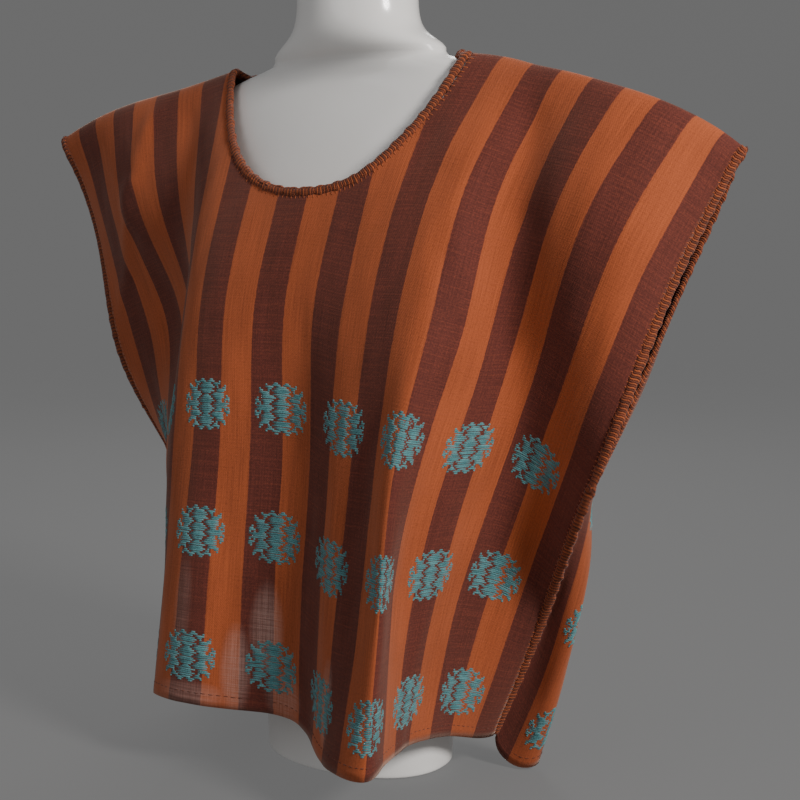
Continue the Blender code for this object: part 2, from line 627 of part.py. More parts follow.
shoulder_line = curve([row[0] for row in SHOULDER], np.array([row[1:] for row in SHOULDER]) * CM, STRIPES)
front_sheet = hang_front(shoulder_line)
outlines = form_sizes()
back_sheet = hang_back(shoulder_line, front_sheet, outlines)

cloth = make_material("cloth", COLOURS["cloth"], 0.85)
edging = make_material("edging", COLOURS["edging"], 0.8)
form = make_material("form", COLOURS["form"], 0.25)

net_points = [place(sheet, *panel_grid(side)) for sheet, side in ((front_sheet, -1), (back_sheet, 1))]
net_normals = make_cloth(net_points, cloth)
make_hem("hem_front", net_points[0], -1, cloth)
make_hem("hem_back", net_points[1], 1, cloth)
make_neck_edging(net_points, net_normals, edging)
make_side_edgings("right", net_points, net_normals, 0, edging)
make_side_edgings("left", net_points, net_normals, -1, edging)
make_form(outlines, form)
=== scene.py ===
"""The looks of a hand-woven striped blouse with brocade motifs, worn by a smooth dress form.

The cloth is worked out as in the part's source, from the same tables: a place on it is a stripe edge,
counted from the wearer's right, and a distance down the warp from the shoulder fold. Here it is laid out
finer, with its creases, its raised motifs, its crocheted edges and its stitched hems.
The wearer faces -Y, with the wearer's left hand towards +X. Sizes are in metres.
"""

import bpy
import numpy as np
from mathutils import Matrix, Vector


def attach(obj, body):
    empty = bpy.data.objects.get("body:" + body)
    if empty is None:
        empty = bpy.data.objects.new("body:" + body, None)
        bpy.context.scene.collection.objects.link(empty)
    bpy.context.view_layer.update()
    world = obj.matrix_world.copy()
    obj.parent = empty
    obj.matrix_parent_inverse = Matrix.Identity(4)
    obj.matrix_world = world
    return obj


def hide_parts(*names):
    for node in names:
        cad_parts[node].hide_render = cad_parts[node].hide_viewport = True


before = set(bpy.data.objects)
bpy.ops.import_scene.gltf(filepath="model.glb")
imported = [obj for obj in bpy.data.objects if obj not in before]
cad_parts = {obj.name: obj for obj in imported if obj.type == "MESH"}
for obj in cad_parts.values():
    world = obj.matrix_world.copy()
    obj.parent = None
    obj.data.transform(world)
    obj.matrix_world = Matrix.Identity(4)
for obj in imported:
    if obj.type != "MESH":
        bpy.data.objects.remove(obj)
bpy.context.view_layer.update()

CM = 0.01

# The cloth as it is woven and cut
STRIPE_WIDTH = 0.026
STRIPE_COUNT = 24
CLOTH_WIDTH = STRIPE_WIDTH * STRIPE_COUNT
PANEL_LENGTH = 0.51

# The neck hole: a rounded scoop, a little to the wearer's right of the middle of the cloth
NECK_SHIFT = -0.0065
NECK_HALF_WIDTH = 0.090
NECK_DEPTH_FRONT = 0.118
NECK_DEPTH_BACK = 0.055
NECK_POWER_FRONT = 2.1
NECK_POWER_BACK = 2.6

# How the blouse hangs
NECK_HEIGHT = 0.545
ARMHOLE_DEPTH = 0.26
SHOULDER_TURN = 0.012

# Trimmings: the cloth stops short of its cut edges, where the edging lies
EDGE_TRIM = 0.0028
HEM_WIDTH = 0.010
HEM_SHORT = 0.35

FORM_BACK_SHIFT = 0.0012
FORM_SKEW = -0.05

# The shoulder fold: stripe edge, then x, y and height over the neck points, in centimetres
SHOULDER = [
    (0.0, -32.6, 2.0, -4.4),
    (2.0, -27.7, 1.0, -2.9),
    (4.0, -22.6, 0.4, -1.8),
    (6.0, -17.5, 0.2, -1.0),
    (8.0, -12.4, 0.0, 0.0),
    (9.3, -8.8, -1.0, 0.4),
    (11.0, -4.2, -2.2, 0.8),
    (13.0, 1.6, -2.6, 0.8),
    (14.5, 7.6, -2.0, 0.2),
    (16.0, 13.4, -1.4, -0.5),
    (17.0, 15.9, -1.7, -1.2),
    (18.0, 18.3, -2.0, -1.8),
    (19.5, 22.0, -2.4, -2.9),
    (21.0, 25.7, -2.4, -4.2),
    (22.5, 28.9, -1.4, -5.9),
    (24.0, 30.6, 0.4, -7.4),
]

# Stations down the warp, in centimetres
STATIONS = (0.0, 10.0, 20.0, 30.0, 40.0, 51.0)

# The front: stripe edge, ease along the warp, then x, y in centimetres at each station below the fold
FRONT = [
    (0.0, 0.990, (-29.5, 2.8), (-27.0, 2.3), (-24.2, 5.4), (-20.6, 7.2), (-19.2, 8.4)),
    (2.0, 0.985, (-25.2, 0.2), (-22.0, 0.9), (-20.8, 1.6), (-18.3, 2.6), (-17.4, 3.6)),
    (4.0, 0.985, (-20.6, -1.8), (-17.2, -0.7), (-17.4, -2.4), (-15.9, -1.9), (-15.4, -1.2)),
    (6.0, 0.990, (-15.6, -2.7), (-13.4, -4.0), (-14.2, -6.2), (-13.4, -6.3), (-13.6, -6.2)),
    (8.0, 1.000, (-11.1, -4.7), (-10.7, -7.8), (-10.6, -9.6), (-10.9, -10.6), (-11.9, -11.1)),
    (9.3, 1.000, (-7.9, -5.2), (-7.8, -8.9), (-7.6, -10.2), (-7.8, -11.6), (-8.5, -12.5)),
    (11.0, 1.000, (-2.9, -5.8), (-3.4, -8.8), (-3.5, -9.4), (-3.5, -10.6), (-3.5, -11.4)),
    (13.0, 1.005, (2.7, -6.1), (1.8, -8.6), (1.7, -9.2), (1.6, -10.1), (1.6, -10.6)),
    (14.5, 1.025, (6.7, -6.3), (5.8, -9.3), (5.3, -10.7), (5.0, -11.9), (4.6, -12.8)),
    (16.0, 1.035, (10.7, -6.4), (9.6, -9.8), (9.0, -11.7), (8.6, -13.3), (7.9, -15.1)),
    (17.0, 1.020, (13.1, -6.4), (12.2, -9.9), (11.2, -12.9), (10.9, -14.4), (10.5, -15.7)),
    (18.0, 0.995, (14.9, -5.2), (13.6, -7.9), (11.8, -10.6), (10.4, -11.9), (10.3, -13.2)),
    (19.5, 0.985, (18.4, -5.6), (15.2, -4.9), (13.0, -7.1), (10.7, -8.3), (9.5, -9.4)),
    (21.0, 0.985, (21.8, -6.0), (18.0, -4.2), (14.5, -3.7), (11.7, -4.8), (9.7, -5.6)),
    (22.5, 0.985, (25.1, -5.0), (21.3, -4.9), (17.2, -2.4), (13.5, -1.4), (10.3, -1.8)),
    (24.0, 0.990, (27.0, -2.4), (24.2, -4.8), (20.2, -3.4), (15.9, 0.6), (11.4, 1.9)),
]

# The back is settled from a rough start: a coarse net of half stripes, drawn down a little at each
# round, kept to its lengths, clear of the form and behind the front
NET_COLUMNS = STRIPE_COUNT * 2 + 1
NET_ROWS = 42
SETTLE_ROUNDS = 420
SETTLE_PASSES = 14
SETTLE_DROP = 0.0004
CLOTH_STIFFNESS = 0.035
CLEAR_OF_FORM = 0.0038
CLEAR_OF_FRONT = 0.006
ARMHOLE_ROOM = 0.020
# Below the left armhole the back stays on the body's side of the seam: the level direction that points
# away from the body there, the share of any overshoot that each round takes back, and the room left
# to it, at the armhole's foot and from there down to the hem
SEAM_OUT = (0.857, 0.515)
SEAM_PULL = 0.10
SEAM_ROOM = (0.002, 0.052)
BACK_BOW = (2.2, 4.8, 7.2, 9.2, 10.5)
BACK_FOLDS = 3.5
BACK_FOLD_DEPTH = 0.06

# The dress form, from floor to cap: height over the neck points, half width, front depth, back depth,
# all in centimetres, and the power of its rounded outline
FORM = [
    (-54.5, 8.0, 6.0, 5.8, 2.2),
    (-46.0, 8.4, 6.4, 6.0, 2.2),
    (-38.0, 9.2, 6.9, 6.3, 2.2),
    (-30.0, 10.6, 7.7, 6.8, 2.2),
    (-22.0, 12.6, 8.2, 7.2, 2.3),
    (-16.0, 13.8, 7.4, 7.2, 2.4),
    (-10.0, 14.6, 5.2, 6.2, 2.3),
    (-6.0, 15.1, 3.9, 4.8, 2.1),
    (-3.5, 14.8, 3.1, 3.6, 2.0),
    (-1.9, 13.8, 2.6, 2.9, 2.0),
    (-1.1, 12.4, 2.5, 2.6, 2.0),
    (-0.5, 10.5, 2.6, 2.4, 2.0),
    (-0.1, 8.7, 2.7, 2.5, 2.0),
    (0.7, 7.8, 3.4, 3.5, 2.0),
    (2.0, 6.1, 4.2, 4.1, 2.0),
    (3.6, 5.1, 4.4, 4.2, 2.0),
    (7.0, 4.9, 4.6, 4.4, 2.0),
    (10.0, 4.9, 4.6, 4.6, 2.0),
]
FORM_CAP = 0.012


def curve(knots, values, at):
    """Smooth line through the knots: a natural cubic spline whose bends are solved for together."""
    knots = np.asarray(knots, float)
    values = np.asarray(values, float)
    count = len(knots)
    flat = values.reshape(count, -1)
    step = np.diff(knots)
    slope = np.diff(flat, axis=0) / step[:, None]
    inner = np.arange(1, count - 1)
    system = np.eye(count)
    system[inner, inner - 1] = step[:-1]
    system[inner, inner] = 2 * (step[:-1] + step[1:])
    system[inner, inner + 1] = step[1:]
    right = np.zeros_like(flat)
    right[1:-1] = 6 * np.diff(slope, axis=0)
    bend = np.linalg.solve(system, right)
    at = np.atleast_1d(np.asarray(at, float))
    low = np.clip(np.searchsorted(knots, at, side="right") - 1, 0, count - 2)
    size = step[low][:, None]
    a = (knots[low + 1] - at)[:, None] / size
    b = 1 - a
    line = a * flat[low] + b * flat[low + 1]
    line += ((a ** 3 - a) * bend[low] + (b ** 3 - b) * bend[low + 1]) * size ** 2 / 6
    return line.reshape((len(at),) + values.shape[1:])


def unit(vectors):
    return vectors / np.linalg.norm(vectors, axis=-1, keepdims=True)


# Fine steps at which the hanging cloth is worked out
STRIPES = np.linspace(0.0, STRIPE_COUNT, STRIPE_COUNT * 8 + 1)
DOWN = np.linspace(0.0, PANEL_LENGTH, 205)


def hang(shoulder, plan, ease, side):
    """Hang one panel from the shoulder fold: side is -1 for the front and +1 for the back.

    plan holds x, y for each fine stripe place and station. A line down the warp runs through them in
    plan and leaves the fold level; what is left of its length is how far it falls.
    """
    step = DOWN[1]
    xy = curve(np.array(STATIONS) * CM, plan.transpose(1, 0, 2), DOWN).transpose(1, 0, 2)
    start = (xy[:, 1] - xy[:, 0]) / step
    level = np.sqrt(1 - start[:, 0] ** 2) - side * start[:, 1]
    xy[..., 1] += side * level[:, None] * DOWN * np.exp(-DOWN / SHOULDER_TURN)
    run = np.sum(np.diff(xy, axis=1) ** 2, axis=-1)
    length = (ease * step)[:, None]
    fall = np.sqrt(np.clip(length ** 2 - run, 0, None))
    drop = np.concatenate([np.zeros((len(xy), 1)), np.cumsum(fall, axis=1)], axis=1)
    height = NECK_HEIGHT + shoulder[:, 2:3] - drop
    return np.concatenate([xy, height[..., None]], axis=-1)


def hang_front(shoulder):
    rows = np.array([row[0] for row in FRONT])
    plan = curve(rows, np.array([row[2:] for row in FRONT]) * CM, STRIPES)
    plan = np.concatenate([shoulder[:, None, :2], plan], axis=1)
    ease = curve(rows, [row[1] for row in FRONT], STRIPES)
    return hang(shoulder, plan, ease, -1)


def row_across(left, right, bow, shares):
    """One level row of the back: bowed, with folds just deep enough to use up the cloth's width."""
    t = np.linspace(0.0, 1.0, 401)
    across = right - left
    behind = unit(np.array([-across[1], across[0]]))
    arch = bow * np.sin(np.pi * t) ** 0.85
    folds = np.sin(2 * np.pi * BACK_FOLDS * t) * np.sin(np.pi * t) ** 0.5

    def run(depth):
        line = left + t[:, None] * across + (arch + depth * folds)[:, None] * behind
        return line, np.concatenate([[0.0], np.cumsum(np.linalg.norm(np.diff(line, axis=0), axis=1))])

    shallow, deep = 0.0, BACK_FOLD_DEPTH
    for _ in range(24):
        middle = (shallow + deep) / 2
        if run(middle)[1][-1] < CLOTH_WIDTH:
            shallow = middle
        else:
            deep = middle
    line, along = run(shallow)
    return np.stack([np.interp(shares * along[-1], along, line[:, axis]) for axis in range(2)], axis=-1)


def rough_back(shoulder, front):
    """First guess of the back: hung from the fold, bowed backwards, with soft folds started."""
    rows = np.linspace(0.0, PANEL_LENGTH, NET_ROWS)
    columns = np.linspace(0.0, 1.0, NET_COLUMNS)
    top = np.stack([np.interp(columns * STRIPE_COUNT, STRIPES, shoulder[:, axis]) for axis in range(3)],
                   axis=-1)
    top[:, 2] += NECK_HEIGHT
    net = np.empty((NET_COLUMNS, NET_ROWS, 3))
    edges = []
    for column in (0, -1):
        edge = np.stack([np.interp(rows, DOWN, front[column, :, axis]) for axis in range(3)], axis=-1)
        edge[:, 1] += ARMHOLE_ROOM * np.sin(np.pi * np.clip(rows / ARMHOLE_DEPTH, 0, 1))
        edges.append(edge)
    bow = np.interp(rows, np.array(STATIONS) * CM, (0,) + BACK_BOW) * CM
    for row in range(NET_ROWS):
        left, right = edges[0][row], edges[1][row]
        plan = row_across(left[:2], right[:2], bow[row], columns)
        blend = np.clip(rows[row] / 0.14, 0, 1)
        blend = blend * blend * (3 - 2 * blend)
        net[:, row, :2] = top[:, :2] + blend * (plan - top[:, :2])
        net[:, row, 1] += (1 - blend) * min(rows[row], 0.01)
        level = left[2] + columns * (right[2] - left[2])
        net[:, row, 2] = (top[:, 2] - rows[row]) * 0.5 + 0.5 * np.minimum(level, top[:, 2] - rows[row])
    net[0], net[-1] = edges
    net[:, 0] = top
    return net, rows


def keep_length(a, b, rest, hold_a, hold_b, give=1.0):
    """Draw pairs of points to their resting distance; held points stay."""
    gap = b - a
    size = np.linalg.norm(gap, axis=-1, keepdims=True)
    free_a, free_b = (1.0 - hold_a)[..., None], (1.0 - hold_b)[..., None]
    share = free_a + free_b
    push = give * (size - rest) / np.maximum(size, 1e-9) * gap / np.maximum(share, 1.0)
    return a + push * free_a, b - push * free_b


def off_the_form(points, sizes):
    """Move points that are inside the dress form, or too near it, straight out of it."""
    heights = sizes[:, 0]

    def inside(p):
        across, front, back, power = (np.interp(p[..., 2], heights, sizes[:, k]) for k in range(1, 5))
        behind = p[..., 1] - FORM_BACK_SHIFT - FORM_SKEW * p[..., 0]
        x = np.abs(p[..., 0]) / across
        y = np.abs(behind) / np.where(behind < 0, front, back)
        return (x ** power + y ** power) ** (1 / power)

    small = 1e-4
    value = inside(points)
    slope = np.stack([(inside(points + small * axis) - value) / small for axis in np.eye(3)], axis=-1)
    size = np.maximum(np.linalg.norm(slope, axis=-1), 1e-6)
    away = (value - 1) / size
    short = np.clip(CLEAR_OF_FORM - away, 0, 0.004)
    return points + (short / size)[..., None] * slope


def behind_front(front, rows):
    """For each row of the net, the furthest back that the front reaches along x."""
    x = np.linspace(-0.36, 0.36, 145)
    reach = np.full((len(rows), len(x)), -1.0)
    for index, row in enumerate(rows):
        near = front[:, np.abs(DOWN - row) < 0.02].reshape(-1, 3)
        for k, value in enumerate(x):
            hit = np.abs(near[:, 0] - value) < 0.008
            if hit.any():
                reach[index, k] = near[hit, 1].max()
    return x, reach


def back_hole(across):
    """How far down the warp the neck hole reaches at the back."""
    return NECK_DEPTH_BACK * np.clip(1 - np.abs(across / NECK_HALF_WIDTH) ** NECK_POWER_BACK, 0, 1) ** (
        1 / NECK_POWER_BACK)


def hang_back(shoulder, front, sizes):
    """Settle the back between its shoulder fold and the two side seams."""
    net, rows = rough_back(shoulder, front)
    weft = CLOTH_WIDTH / (NET_COLUMNS - 1)
    warp = rows[1]
    slant = np.hypot(weft, warp)
    held = np.zeros(net.shape[:2])
    held[:, 0] = 1
    held[[0, -1]] = 1
    x_steps, reach = behind_front(front, rows)
    across = (np.arange(NET_COLUMNS) / 2 - STRIPE_COUNT / 2) * STRIPE_WIDTH - NECK_SHIFT
    solid = (rows[None, :] >= back_hole(across)[:, None] - warp).astype(float)
    ramp = np.minimum(np.arange(NET_COLUMNS), np.arange(NET_COLUMNS)[::-1])[:, None] / 3
    margin = CLEAR_OF_FRONT * np.clip(np.minimum(ramp, rows[None, :] / 0.03), 0, 1)
    lowest = np.arange(NET_ROWS)
    for turn in range(SETTLE_ROUNDS):
        calm = 1.0 if turn < SETTLE_ROUNDS * 0.8 else 0.15
        net[..., 2] -= SETTLE_DROP * calm * (1 - held)
        for _ in range(SETTLE_PASSES):
            for start in (0, 1):
                a, b = keep_length(net[start:-1:2], net[start + 1::2], weft,
                                   held[start:-1:2], held[start + 1::2])
                net[start:-1:2], net[start + 1::2] = a, b
            for start in (0, 1):
                a, b = keep_length(net[:, start:-1:2], net[:, start + 1::2], warp,
                                   held[:, start:-1:2], held[:, start + 1::2])
                net[:, start:-1:2], net[:, start + 1::2] = a, b
        for first, second in ((np.s_[:-1, :-1], np.s_[1:, 1:]), (np.s_[:-1, 1:], np.s_[1:, :-1])):
            a, b = keep_length(net[first], net[second], slant, held[first], held[second], 0.04)
            net[first] = a
            net[second] = b
        soft = np.zeros_like(net)
        soft[1:-1] += (net[:-2] + net[2:]) / 2 - net[1:-1]
        soft[:, 1:-1] += (net[:, :-2] + net[:, 2:]) / 2 - net[:, 1:-1]
        net += CLOTH_STIFFNESS * 8 * soft * (1 - held)[..., None]
        out = off_the_form(net, sizes)
        net += (out - net) * ((1 - held) * solid)[..., None]
        room = np.interp(rows, (0.27, 0.39), SEAM_ROOM)
        beyond = (net[..., :2] - net[-1:, :, :2]) @ np.array(SEAM_OUT) - room
        pull = SEAM_PULL * np.clip((rows - 0.20) / 0.08, 0, 1) * (1 - held) * np.clip(beyond, 0, 0.02)
        net[..., :2] -= pull[..., None] * np.array(SEAM_OUT)
        step = (net[..., 0] - x_steps[0]) / (x_steps[1] - x_steps[0])
        low = np.clip(step.astype(int), 0, len(x_steps) - 2)
        wall = np.maximum(reach[lowest, low], reach[lowest, low + 1]) + margin
        net[..., 1] += (np.maximum(net[..., 1], wall) - net[..., 1]) * (1 - held)
    columns = np.linspace(0.0, STRIPE_COUNT, NET_COLUMNS)
    fine = curve(columns, net, STRIPES).transpose(1, 0, 2)
    # the front's first rows are joined on, so that the fold is crossed smoothly
    over = [np.stack([np.interp(row, DOWN, values) for values in
                      front.transpose(0, 2, 1).reshape(-1, len(DOWN))]).reshape(-1, 3)
            for row in rows[2:0:-1]]
    back = curve(np.concatenate([-rows[2:0:-1], rows]), np.concatenate([over, fine]),
                 DOWN).transpose(1, 0, 2)
    across = (STRIPES - STRIPE_COUNT / 2) * STRIPE_WIDTH - NECK_SHIFT
    cloth_there = (DOWN[None, :] > 0) & (DOWN[None, :] >= back_hole(across)[:, None] - 0.004)
    for _ in range(6):
        back = np.where(cloth_there[..., None], off_the_form(back, sizes), back)
    return back


def place(sheet, stripe, down):
    """Read a sheet between its fine steps, at any arrays of stripe place and distance down the warp."""
    i = np.clip(np.asarray(stripe, float) / STRIPES[1], 0, len(STRIPES) - 1.001)
    j = np.clip(np.asarray(down, float) / DOWN[1], 0, len(DOWN) - 1.001)
    i0 = i.astype(int)
    j0 = j.astype(int)
    a = (i - i0)[..., None]
    b = (j - j0)[..., None]
    near = sheet[i0, j0] * (1 - a) + sheet[i0 + 1, j0] * a
    far = sheet[i0, j0 + 1] * (1 - a) + sheet[i0 + 1, j0 + 1] * a
    return near * (1 - b) + far * b


def neckline(half_width, depth, power, count):
    """Stripe places and distances down the warp along the neck hole, from right to left shoulder."""
    turn = np.linspace(0.0, np.pi, 721)
    x = -np.sign(np.cos(turn)) * np.abs(np.cos(turn)) ** (2 / power) * half_width
    down = np.abs(np.sin(turn)) ** (2 / power) * depth
    along = np.concatenate([[0.0], np.cumsum(np.hypot(np.diff(x), np.diff(down)))])
    even = np.linspace(0.0, along[-1], count + 1)
    x = np.interp(even, along, x) + NECK_SHIFT
    return x / STRIPE_WIDTH + STRIPE_COUNT / 2, np.interp(even, along, down)


def neck_of(side, grow):
    depth, power = ((NECK_DEPTH_FRONT, NECK_POWER_FRONT) if side < 0
                    else (NECK_DEPTH_BACK, NECK_POWER_BACK))
    return neckline(NECK_HALF_WIDTH + grow, depth + grow, power, COLUMNS_NECK)


def form_sizes():
    """Level outlines of the form from the floor up: height, half width, front, back and power."""
    table = np.array(FORM)
    heights = np.concatenate([np.linspace(table[0, 0], -5.0, 17), np.linspace(-3.9, 3.0, 13),
                              [4.5, 7.0, table[-1, 0]]])
    rows = curve(table[:, 0], table[:, 1:], heights)
    return np.column_stack([heights * CM + NECK_HEIGHT, rows[:, :3] * CM, rows[:, 3]])


# The cloth as it shows: its thickness, its mesh and its small relief
CLOTH_THICKNESS = 0.0010
COLUMNS_SHOULDER = 52
COLUMNS_NECK = 64
ROWS_DOWN = 104
ROW_SPREAD = 1.25
HEM_RISE = 0.00035

# Creases in the front: stripe place and distance down in cm at either end, half width in cm and height
# in mm; a trough has a negative height
FRONT_CREASES = [
    (5.2, 1.0, 4.1, 7.0, 0.9, 2.2),
    (4.1, 7.0, 3.0, 10.5, 0.9, 2.6),
    (3.0, 10.5, 2.0, 14.0, 0.9, 2.6),
    (2.0, 14.0, 0.4, 17.5, 0.8, 1.8),
    (6.4, 2.0, 6.9, 14.0, 1.3, -1.8),
    (17.7, 3.0, 19.2, 12.0, 1.5, -2.4),
    (19.0, 10.0, 19.9, 21.0, 1.7, -2.8),
    (20.9, 6.0, 21.6, 19.0, 1.2, 1.5),
    (23.3, 9.0, 20.6, 25.0, 1.2, -1.6),
    (23.6, 17.0, 21.4, 33.0, 1.1, 1.4),
    (15.4, 1.5, 16.2, 9.0, 0.8, 1.2),
    (16.6, 13.0, 17.9, 27.0, 1.0, -1.3),
    (18.6, 24.0, 18.0, 40.0, 1.3, -1.6),
    (12.4, 15.0, 12.6, 35.0, 1.4, -1.0),
    (10.2, 33.0, 10.6, 51.0, 1.1, -1.5),
    (12.0, 36.0, 11.8, 51.0, 1.0, 1.1),
    (14.0, 30.0, 13.7, 51.0, 0.9, -1.2),
    (8.2, 20.0, 7.7, 40.0, 1.2, 0.9),
    (5.2, 28.0, 5.6, 51.0, 1.3, -1.2),
    (20.2, 34.0, 19.4, 51.0, 1.0, 1.3),
    (22.3, 36.0, 21.6, 51.0, 0.9, -1.1),
    (1.6, 24.0, 2.2, 44.0, 1.0, -1.2),
]
BACK_CREASES = [
    (5.0, 1.5, 3.2, 12.0, 1.0, 2.0),
    (3.2, 12.0, 1.4, 20.0, 0.9, 1.8),
    (7.0, 6.0, 7.6, 22.0, 1.4, -1.6),
    (12.0, 8.0, 12.3, 26.0, 1.6, -1.2),
    (15.2, 20.0, 15.8, 42.0, 1.1, 1.3),
    (17.8, 3.0, 19.0, 14.0, 1.4, -2.0),
    (20.6, 8.0, 21.8, 21.0, 1.1, 1.7),
    (10.2, 24.0, 9.8, 45.0, 1.0, 1.0),
    (23.2, 12.0, 21.0, 27.0, 1.1, -1.4),
    (18.4, 30.0, 18.0, 51.0, 1.0, -1.2),
    (6.2, 28.0, 5.7, 51.0, 1.1, -1.3),
    (13.6, 36.0, 13.4, 51.0, 0.9, 1.0),
]
# Slow unevenness of hand-woven cloth: waves across, waves along, phase and height in mm
COCKLES = [
    (5.0, 3.0, 0.4, 0.35),
    (9.0, -4.0, 1.7, 0.25),
    (14.0, 7.0, 2.9, 0.18),
    (23.0, -11.0, 0.9, 0.12),
    (31.0, 17.0, 4.1, 0.09),
]

# The brocade star: the right-hand upper quarter of its chart, from the top row down to the middle row
STAR_QUARTER = [
    "..##.........",
    ".####..#.....",
    "###.####.....",
    "####.##...#..",
    "#####.#..##..",
    "####..#####..",
    "#####.####...",
    "###.######...",
    "##.#######.#.",
    "###.######.##",
    "####.####.###",
    "#####.###.#.#",
    "####.########",
    "###.########.",
]
STAR_CELL = (0.00178, 0.00145)
STAR_STRIPES = (2.0, 4.5, 7.0, 9.5, 12.0, 14.5, 17.0, 19.5, 22.0)
STAR_ROWS = (0.4735, 0.3773, 0.2811)
STAR_STRAY = (0.025, 0.0004)
FLOAT_HEIGHT = 0.00050
FLOAT_RINGS = 4
FLOAT_SINK = 0.00015
FLOAT_SWAY = 0.00012
FLOAT_OVERLAP = 1.16
FLOAT_MAP_WIDTH = 0.0022

# Thin places in the cloth, where the weave is open and light from behind is painted in as a paler colour:
# stripe place, distance down the warp, half sizes across and along, strength
BACKLIT_THIN_PLACES = [
    (11.8, 0.448, 0.016, 0.042, 0.46),
    (10.9, 0.480, 0.013, 0.040, 0.40),
    (12.4, 0.494, 0.020, 0.024, 0.38),
    (14.9, 0.470, 0.010, 0.036, 0.40),
    (9.6, 0.502, 0.034, 0.012, 0.28),
    (9.2, 0.440, 0.010, 0.050, 0.20),
]

# The weave: threads for each metre across and along, and how far a stripe's edge wanders
THREADS = (620, 560)
STRIPE_WANDER = 0.0011

# The crocheted edging: two yarns wound round a core
YARN_RADIUS = 0.00090
YARN_PITCH = 0.0030
YARN_REACH = (0.0029, 0.0015)
YARN_SIDES = 5
YARN_STEPS = 10
CORE_RADIUS = 0.0013
CORE_SIDES = 7

# Stitches: how far apart they lie and how long, then how wide and high each one stands
EDGE_STITCH_STEP = 0.0038
EDGE_STITCH_LENGTH = 0.0030
EDGE_STITCH = (0.0011, 0.0005)
HEM_STITCH_STEP = 0.0052
HEM_STITCH_LENGTH = 0.0030
HEM_STITCH = (0.0006, 0.00025)
HEM_STITCH_RISE = 0.0008

# The hem's turned edge: its thickness, its distance from the cloth and how far it rolls off it
TURN_THICKNESS = 0.0005
TURN_GAP = 0.0002
TURN_ROLL = 0.0008

# The form's mesh and the roll of its foot
FORM_SIDES = 144
FORM_ROLL = 0.003

# The backdrop: how far out its floor is level, how wide it bends up, and the wall's height and drop
BACKDROP_FLOOR = 3.0
BACKDROP_BEND = 1.4
BACKDROP_WALL = (1.8, 2.4)
BACKDROP_DROP = 0.0005


# The camera of the photograph, and the studio
def look_along(thing, place, target):
    """Turn a camera or a light at place so that it looks at target."""
    thing.location = place
    thing.rotation_euler = (Vector(target) - Vector(place)).to_track_quat("-Z", "Y").to_euler()
    bpy.context.scene.collection.objects.link(thing)


CAMERA_PLACE = np.array([0.617, -0.959, NECK_HEIGHT - 0.135])
CAMERA_HEADING = np.array([-0.5165, 0.8563])
CAMERA_PITCH = np.radians(6.3)
CAMERA_LENS = 65.25

camera = bpy.data.objects.new("camera", bpy.data.cameras.new("camera"))
camera.data.lens = CAMERA_LENS
camera.data.sensor_width = 36.0
camera.data.clip_start = 0.05
forward = np.append(CAMERA_HEADING * np.cos(CAMERA_PITCH), -np.sin(CAMERA_PITCH))
look_along(camera, CAMERA_PLACE, CAMERA_PLACE + forward)
bpy.context.scene.camera = camera


def studio_light(name, place, target, size, power, colour):
    light = bpy.data.lights.new(name, "AREA")
    light.shape = "DISK"
    light.size = size
    light.energy = power
    light.color = colour
    look_along(bpy.data.objects.new(name, light), place, target)


MIDDLE = (0.0, 0.0, 0.33)
studio_light("key_light", (1.75, -0.55, 1.25), MIDDLE, 0.45, 40.0, (1.0, 0.97, 0.94))
studio_light("fill_light", (-0.5, -1.7, 1.2), MIDDLE, 1.4, 5.0, (0.97, 0.98, 1.0))
studio_light("rim_light", (-0.9, 1.4, 1.5), MIDDLE, 1.0, 9.0, (1.0, 1.0, 1.0))

world = bpy.data.worlds.new("studio")
world.use_nodes = True
world.node_tree.nodes["Background"].inputs["Color"].default_value = (0.62, 0.62, 0.63, 1.0)
world.node_tree.nodes["Background"].inputs["Strength"].default_value = 0.26
bpy.context.scene.world = world


# Node helpers for the materials
class Nodes:
    """A short way to add nodes to a tree and to join them: a value given as a socket is linked."""

    def __init__(self, tree):
        self.tree = tree

    def put(self, socket, value):
        if isinstance(value, bpy.types.NodeSocket):
            self.tree.links.new(value, socket)
        elif value is not None:
            socket.default_value = value

    def add(self, kind, inputs=None, **settings):
        node = self.tree.nodes.new(kind)
        for key, value in settings.items():
            setattr(node, key, value)
        for key, value in (inputs or {}).items():
            self.put(node.inputs[key], value)
        return node

    def math(self, operation, a, b=None, c=None, clamp=False):
        node = self.add("ShaderNodeMath", {0: a, 1: b, 2: c}, operation=operation, use_clamp=clamp)
        return node.outputs[0]

    def mix(self, share, a, b, blend="MIX"):
        node = self.add("ShaderNodeMix", data_type="RGBA", blend_type=blend)
        self.put(node.inputs[0], share)
        self.put(node.inputs[6], a)
        self.put(node.inputs[7], b)
        return node.outputs[2]

    def noise(self, vector, scale, detail=2.0, rough=0.5):
        node = self.add("ShaderNodeTexNoise", {"Vector": vector, "Scale": scale, "Detail": detail,
                                               "Roughness": rough})
        return node.outputs["Fac"]

    def stretch(self, vector, across, along):
        """The same place with its two directions drawn out differently."""
        node = self.add("ShaderNodeMapping", {"Vector": vector, "Scale": (across, along, 1.0)})
        return node.outputs["Vector"]

    def steps(self, value, low, high):
        """Soft step of a value between two limits."""
        node = self.add("ShaderNodeMapRange", {"Value": value, "From Min": low, "From Max": high},
                        interpolation_type="SMOOTHSTEP")
        return node.outputs["Result"]


def new_group(name, inputs, outputs):
    """A shader node group with named inputs (name, kind, default) and outputs (name, kind)."""
    group = bpy.data.node_groups.new(name, "ShaderNodeTree")
    for label, kind, default in inputs:
        socket = group.interface.new_socket(label, in_out="INPUT", socket_type=kind)
        if default is not None:
            socket.default_value = default
    for label, kind in outputs:
        group.interface.new_socket(label, in_out="OUTPUT", socket_type=kind)
    nodes = Nodes(group)
    return group, nodes, nodes.add("NodeGroupInput"), nodes.add("NodeGroupOutput")


